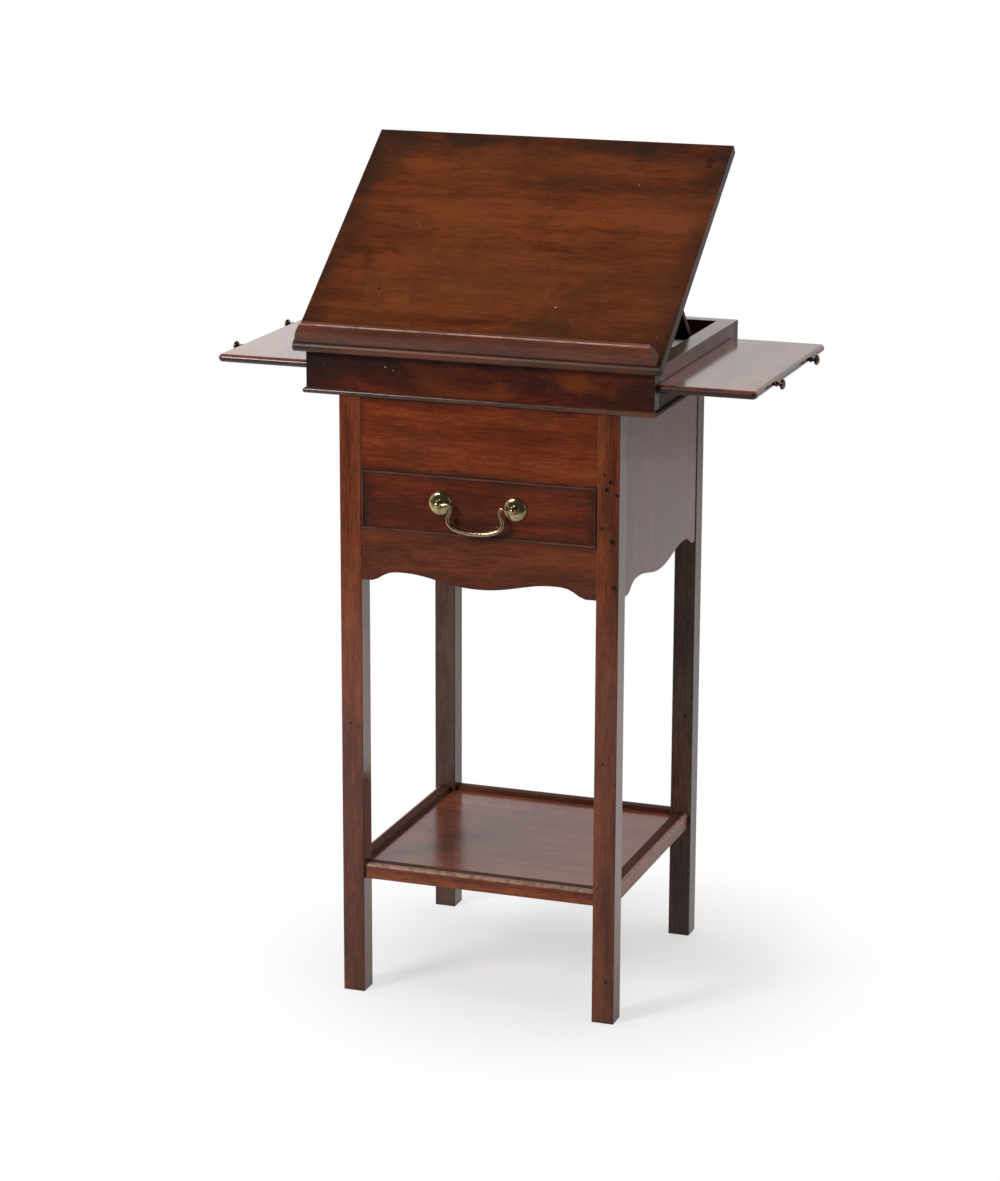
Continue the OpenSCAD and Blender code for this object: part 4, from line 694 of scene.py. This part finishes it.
def painted_arris_highlight(tree, place, colour, height):
    """A painted highlight: a pale line along the ledge's front arris and down its two ends."""
    painted_highlight_tone = (0.62, 0.38, 0.32)
    across, up, out = on_slope(tree, place)
    near = 0.0
    for distance, middle in ((up, arris_up), (reckon(tree, "ABSOLUTE", across), arris_side)):
        aside = put(tree, "ShaderNodeCombineXYZ", {0: reckon(tree, "SUBTRACT", distance, middle),
                                                   1: reckon(tree, "SUBTRACT", out, arris_out)})
        gap = put(tree, "ShaderNodeVectorMath", {0: aside.outputs[0]}, operation="LENGTH").outputs["Value"]
        near = reckon(tree, "MAXIMUM", eased(tree, gap, 0.0014, 0.0005), near)
    patchy = eased(tree, noise(tree, place, (60, 60, 60), 3).outputs[0], 0.35, 0.6, 0.3, 0.75)
    return tint(tree, product(tree, near, patchy), colour, painted_highlight_tone), height, 0.0


finish_with(timber("ledge_mahogany", "X", LEDGE, gloss=0.3, ior=1.4, stain=0.3, tilt=-lean, worn=0.7,
                   worn_tone=(0.30, 0.17, 0.12), edge=0.0006, seed=7.9, extra=painted_arris_highlight), "book_ledge")

# Drawer front: mahogany with its grain across, darker round its edges, and a small bead let in all
# round it that stands proud, grey with wear and a little chipped.
DRAWER = ((0.0613, 0.0102, 0.0032), (0.1362, 0.0215, 0.0060), (0.2179, 0.0395, 0.0106))
finish_with(timber("drawer_mahogany", "X", DRAWER, seed=4.9,
                   extra=dark_rim("drawer_front", 0.022, 0.75, middle=0.28)), "drawer_front")
BEAD = ((0.0400, 0.0140, 0.0100), (0.0850, 0.0300, 0.0210), (0.1400, 0.0550, 0.0400))
finish_with(timber("bead_mahogany", "X", BEAD, gloss=0.5, edge=0.0004, coat=0.0, ior=1.27, seed=1.1),
            "cock_bead_long")
finish_with(timber("bead_mahogany_upright", "Z", BEAD, gloss=0.5, edge=0.0004, coat=0.0, ior=1.27,
                   seed=1.4), "cock_bead_short")

# Hidden oak: the drawer's sides, back and bottom, dovetailed together, its runners, guides and stops,
# the bottom of the box and the bearers of the slides, all planed and left without polish.
OAK = ((0.150, 0.0800, 0.0350), (0.300, 0.1750, 0.0800), (0.420, 0.2700, 0.1350))
finish_with(timber("oak_along", "Y", OAK, gloss=0.6, coat=0.0, stain=0.2, worn=0.2, seed=5.0),
            "drawer_side_left", "drawer_side_right", "drawer_runners", "drawer_guides", "drawer_kickers",
            "slide_divider")
finish_with(timber("oak_across", "X", OAK, gloss=0.6, coat=0.0, stain=0.2, worn=0.2, seed=5.9),
            "drawer_back", "drawer_bottom", "drawer_stops", "box_bottom", "slide_bearers")
finish_with(timber("oak_upright", "Z", OAK, gloss=0.6, coat=0.0, worn=0.2, seed=6.4), "slide_stop_left",
            "slide_stop_right")

# Drawer handle: cast and turned brass. Two roses lie on the drawer front, two ball-headed posts go
# through them to nuts inside, and a swan-neck bail, thick at its middle, hangs between the posts.
post_x, post_z = 0.047, 0.6292
rose_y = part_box("drawer_front")[0][1]
handle_brass = metal("handle_brass", bright=(0.60, 0.49, 0.26), tarnish=(0.12, 0.085, 0.038), rough=0.1,
                     cover=0.55, uneven=0.08)
bail_brass = metal("bail_brass", bright=(0.52, 0.40, 0.24), tarnish=(0.26, 0.18, 0.10), rough=0.16,
                   cover=0.3, uneven=0.04)
# A rose is a ring with a domed face, and a post goes through it to a collar and a ball.
ROSE = [(2.5, 0), (14.2, 0), (14.2, 0.7), *curve((4.2, 1), 10, 3.4, range(0, 91, 10)), (2.5, 4.4)]
POST = [(2.45, -25), (2.45, 4.4), (3.6, 4.4), (3.6, 5.2), (3.05, 5.8),
        *curve((0, 9.5), 4.8, 4.8, range(-50, 90, 10)), (0, 14.3)]
left_post, post_spacing = (-post_x, rose_y, post_z), (2 * post_x, 0, 0)
towards_front = (0, -1, 0)
rose = turned("rose", ROSE, towards_front, sides=64)
post = turned("post", POST, towards_front, sides=48)
roses = set_out("roses", rose, handle_brass, left_post, post_spacing)
posts = set_out("posts", post, handle_brass, left_post, post_spacing)
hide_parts("handle_roses")
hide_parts("handle_posts")


def bend(*corners):
    """Points on a cubic curve between the first and the last of four corners."""
    start, first, second, end = (Vector(corner) for corner in corners)
    steps = 14
    points = []
    for step in range(steps + 1):
        share = step / steps
        left = 1 - share
        bow = 3 * share * left**2 * first + 3 * share**2 * left * second
        points.append(left**3 * start + bow + share**3 * end)
    return points


# Half of the bail in millimetres, across and down, from a pin over the neck and the hip to its middle.
bail_end, bail_drop, bail_stand = 40.5, 31.7, 9.5
neck, hip = Vector((30.5, 4.12)), Vector((34.6, 17.44))
half = bend((bail_end, 0), (35.5, -1.6), neck + Vector((-0.3, -7.6)), neck)
half += bend(neck, neck + Vector((-0.2, 4.66)), hip + Vector((0.4, -4.8)), hip)[1:]
half += bend(hip, hip + Vector((-0.43, 9)), (21.1, bail_drop), (0, bail_drop))[1:]
pin = [Vector((bail_end + 8.3, 0)), Vector((bail_end + 4, 0))]
half = pin + half
line = [Vector((-spot.x, spot.y)) for spot in half] + half[-2::-1]
bail_y = rose_y - bail_stand / 1000
bail_line = bpy.data.meshes.new("bail_line")
bail_line.from_pydata([(spot.x / 1000, bail_y, post_z - spot.y / 1000) for spot in line],
                      [(place, place + 1) for place in range(len(line) - 1)], [])


def bail_tree():
    """Sweeps a round section along the line, thicker the lower it hangs, and thin at the two pins."""
    tree = bpy.data.node_groups.new("bail_sweep", "GeometryNodeTree")
    kinds = {"Line": "Geometry", "End Radius": "Float", "Middle Radius": "Float", "Drop": "Float",
             "Pin Radius": "Float", "Pin From": "Float", "Top": "Float", "Finish": "Material"}
    keys = named_inputs(tree, kinds, "Bail")
    given = tree.nodes.new("NodeGroupInput").outputs
    place = put(tree, "GeometryNodeInputPosition").outputs[0]
    spot = put(tree, "ShaderNodeSeparateXYZ", {0: place}).outputs
    share = reckon(tree, "DIVIDE", reckon(tree, "SUBTRACT", given["Top"], spot["Z"]), given["Drop"])
    swell = reckon(tree, "POWER", reckon(tree, "MAXIMUM", share, 0.0), 1.5)
    added = reckon(tree, "SUBTRACT", given["Middle Radius"], given["End Radius"])
    thick = reckon(tree, "MULTIPLY_ADD", swell, added, given["End Radius"])
    on_pin = reckon(tree, "GREATER_THAN", reckon(tree, "ABSOLUTE", spot["X"]), given["Pin From"])
    thick = put(tree, "ShaderNodeMix", {0: on_pin, 2: thick, 3: given["Pin Radius"]}).outputs[0]
    path = put(tree, "GeometryNodeMeshToCurve", {0: given["Line"]})
    sized = put(tree, "GeometryNodeSetCurveRadius", {"Curve": path.outputs[0], "Radius": thick})
    section = put(tree, "GeometryNodeCurvePrimitiveCircle", {"Resolution": 24, "Radius": 1.0})
    tube = put(tree, "GeometryNodeCurveToMesh", {
        "Curve": sized.outputs[0], "Profile Curve": section.outputs[0], "Fill Caps": True, "Scale": thick})
    smooth = put(tree, "GeometryNodeSetShadeSmooth", {"Geometry": tube.outputs[0]})
    real = put(tree, "GeometryNodeRealizeInstances", {"Geometry": smooth.outputs[0]})
    coated = put(tree, "GeometryNodeSetMaterial", {"Geometry": real.outputs[0], "Material": given["Finish"]})
    put(tree, "NodeGroupOutput", {"Bail": coated.outputs[0]})
    sizes = {"End Radius": 0.0018, "Middle Radius": 0.0033, "Drop": bail_drop / 1000, "Pin Radius": 0.00125,
             "Pin From": bail_end / 1000, "Top": post_z, "Finish": bail_brass}
    return tree, {keys[label]: value for label, value in sizes.items()}


bail = grown("bail", bail_line, *bail_tree())
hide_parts("handle_bail")
for piece, body in ((roses, "drawer"), (posts, "drawer"), (bail, "drawer_bail")):
    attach(piece, body)
finish_with(handle_brass, "handle_nuts")

# Hinges: brass butts let in flush, two between the box and the slope and two between the slope and the
# strut, each with four countersunk screws, brown and dull.
hinge_brass = metal("hinge_brass", bright=(0.36, 0.25, 0.12), tarnish=(0.09, 0.055, 0.03), rough=0.32,
                    cover=0.8)
finish_with(hinge_brass, "box_hinge_leaves", "lid_hinge_leaves", "lid_hinge_pins", "box_hinge_screws",
            "lid_screws", "strut_hinge_leaves", "strut_hinge_pins", "strut_screws")
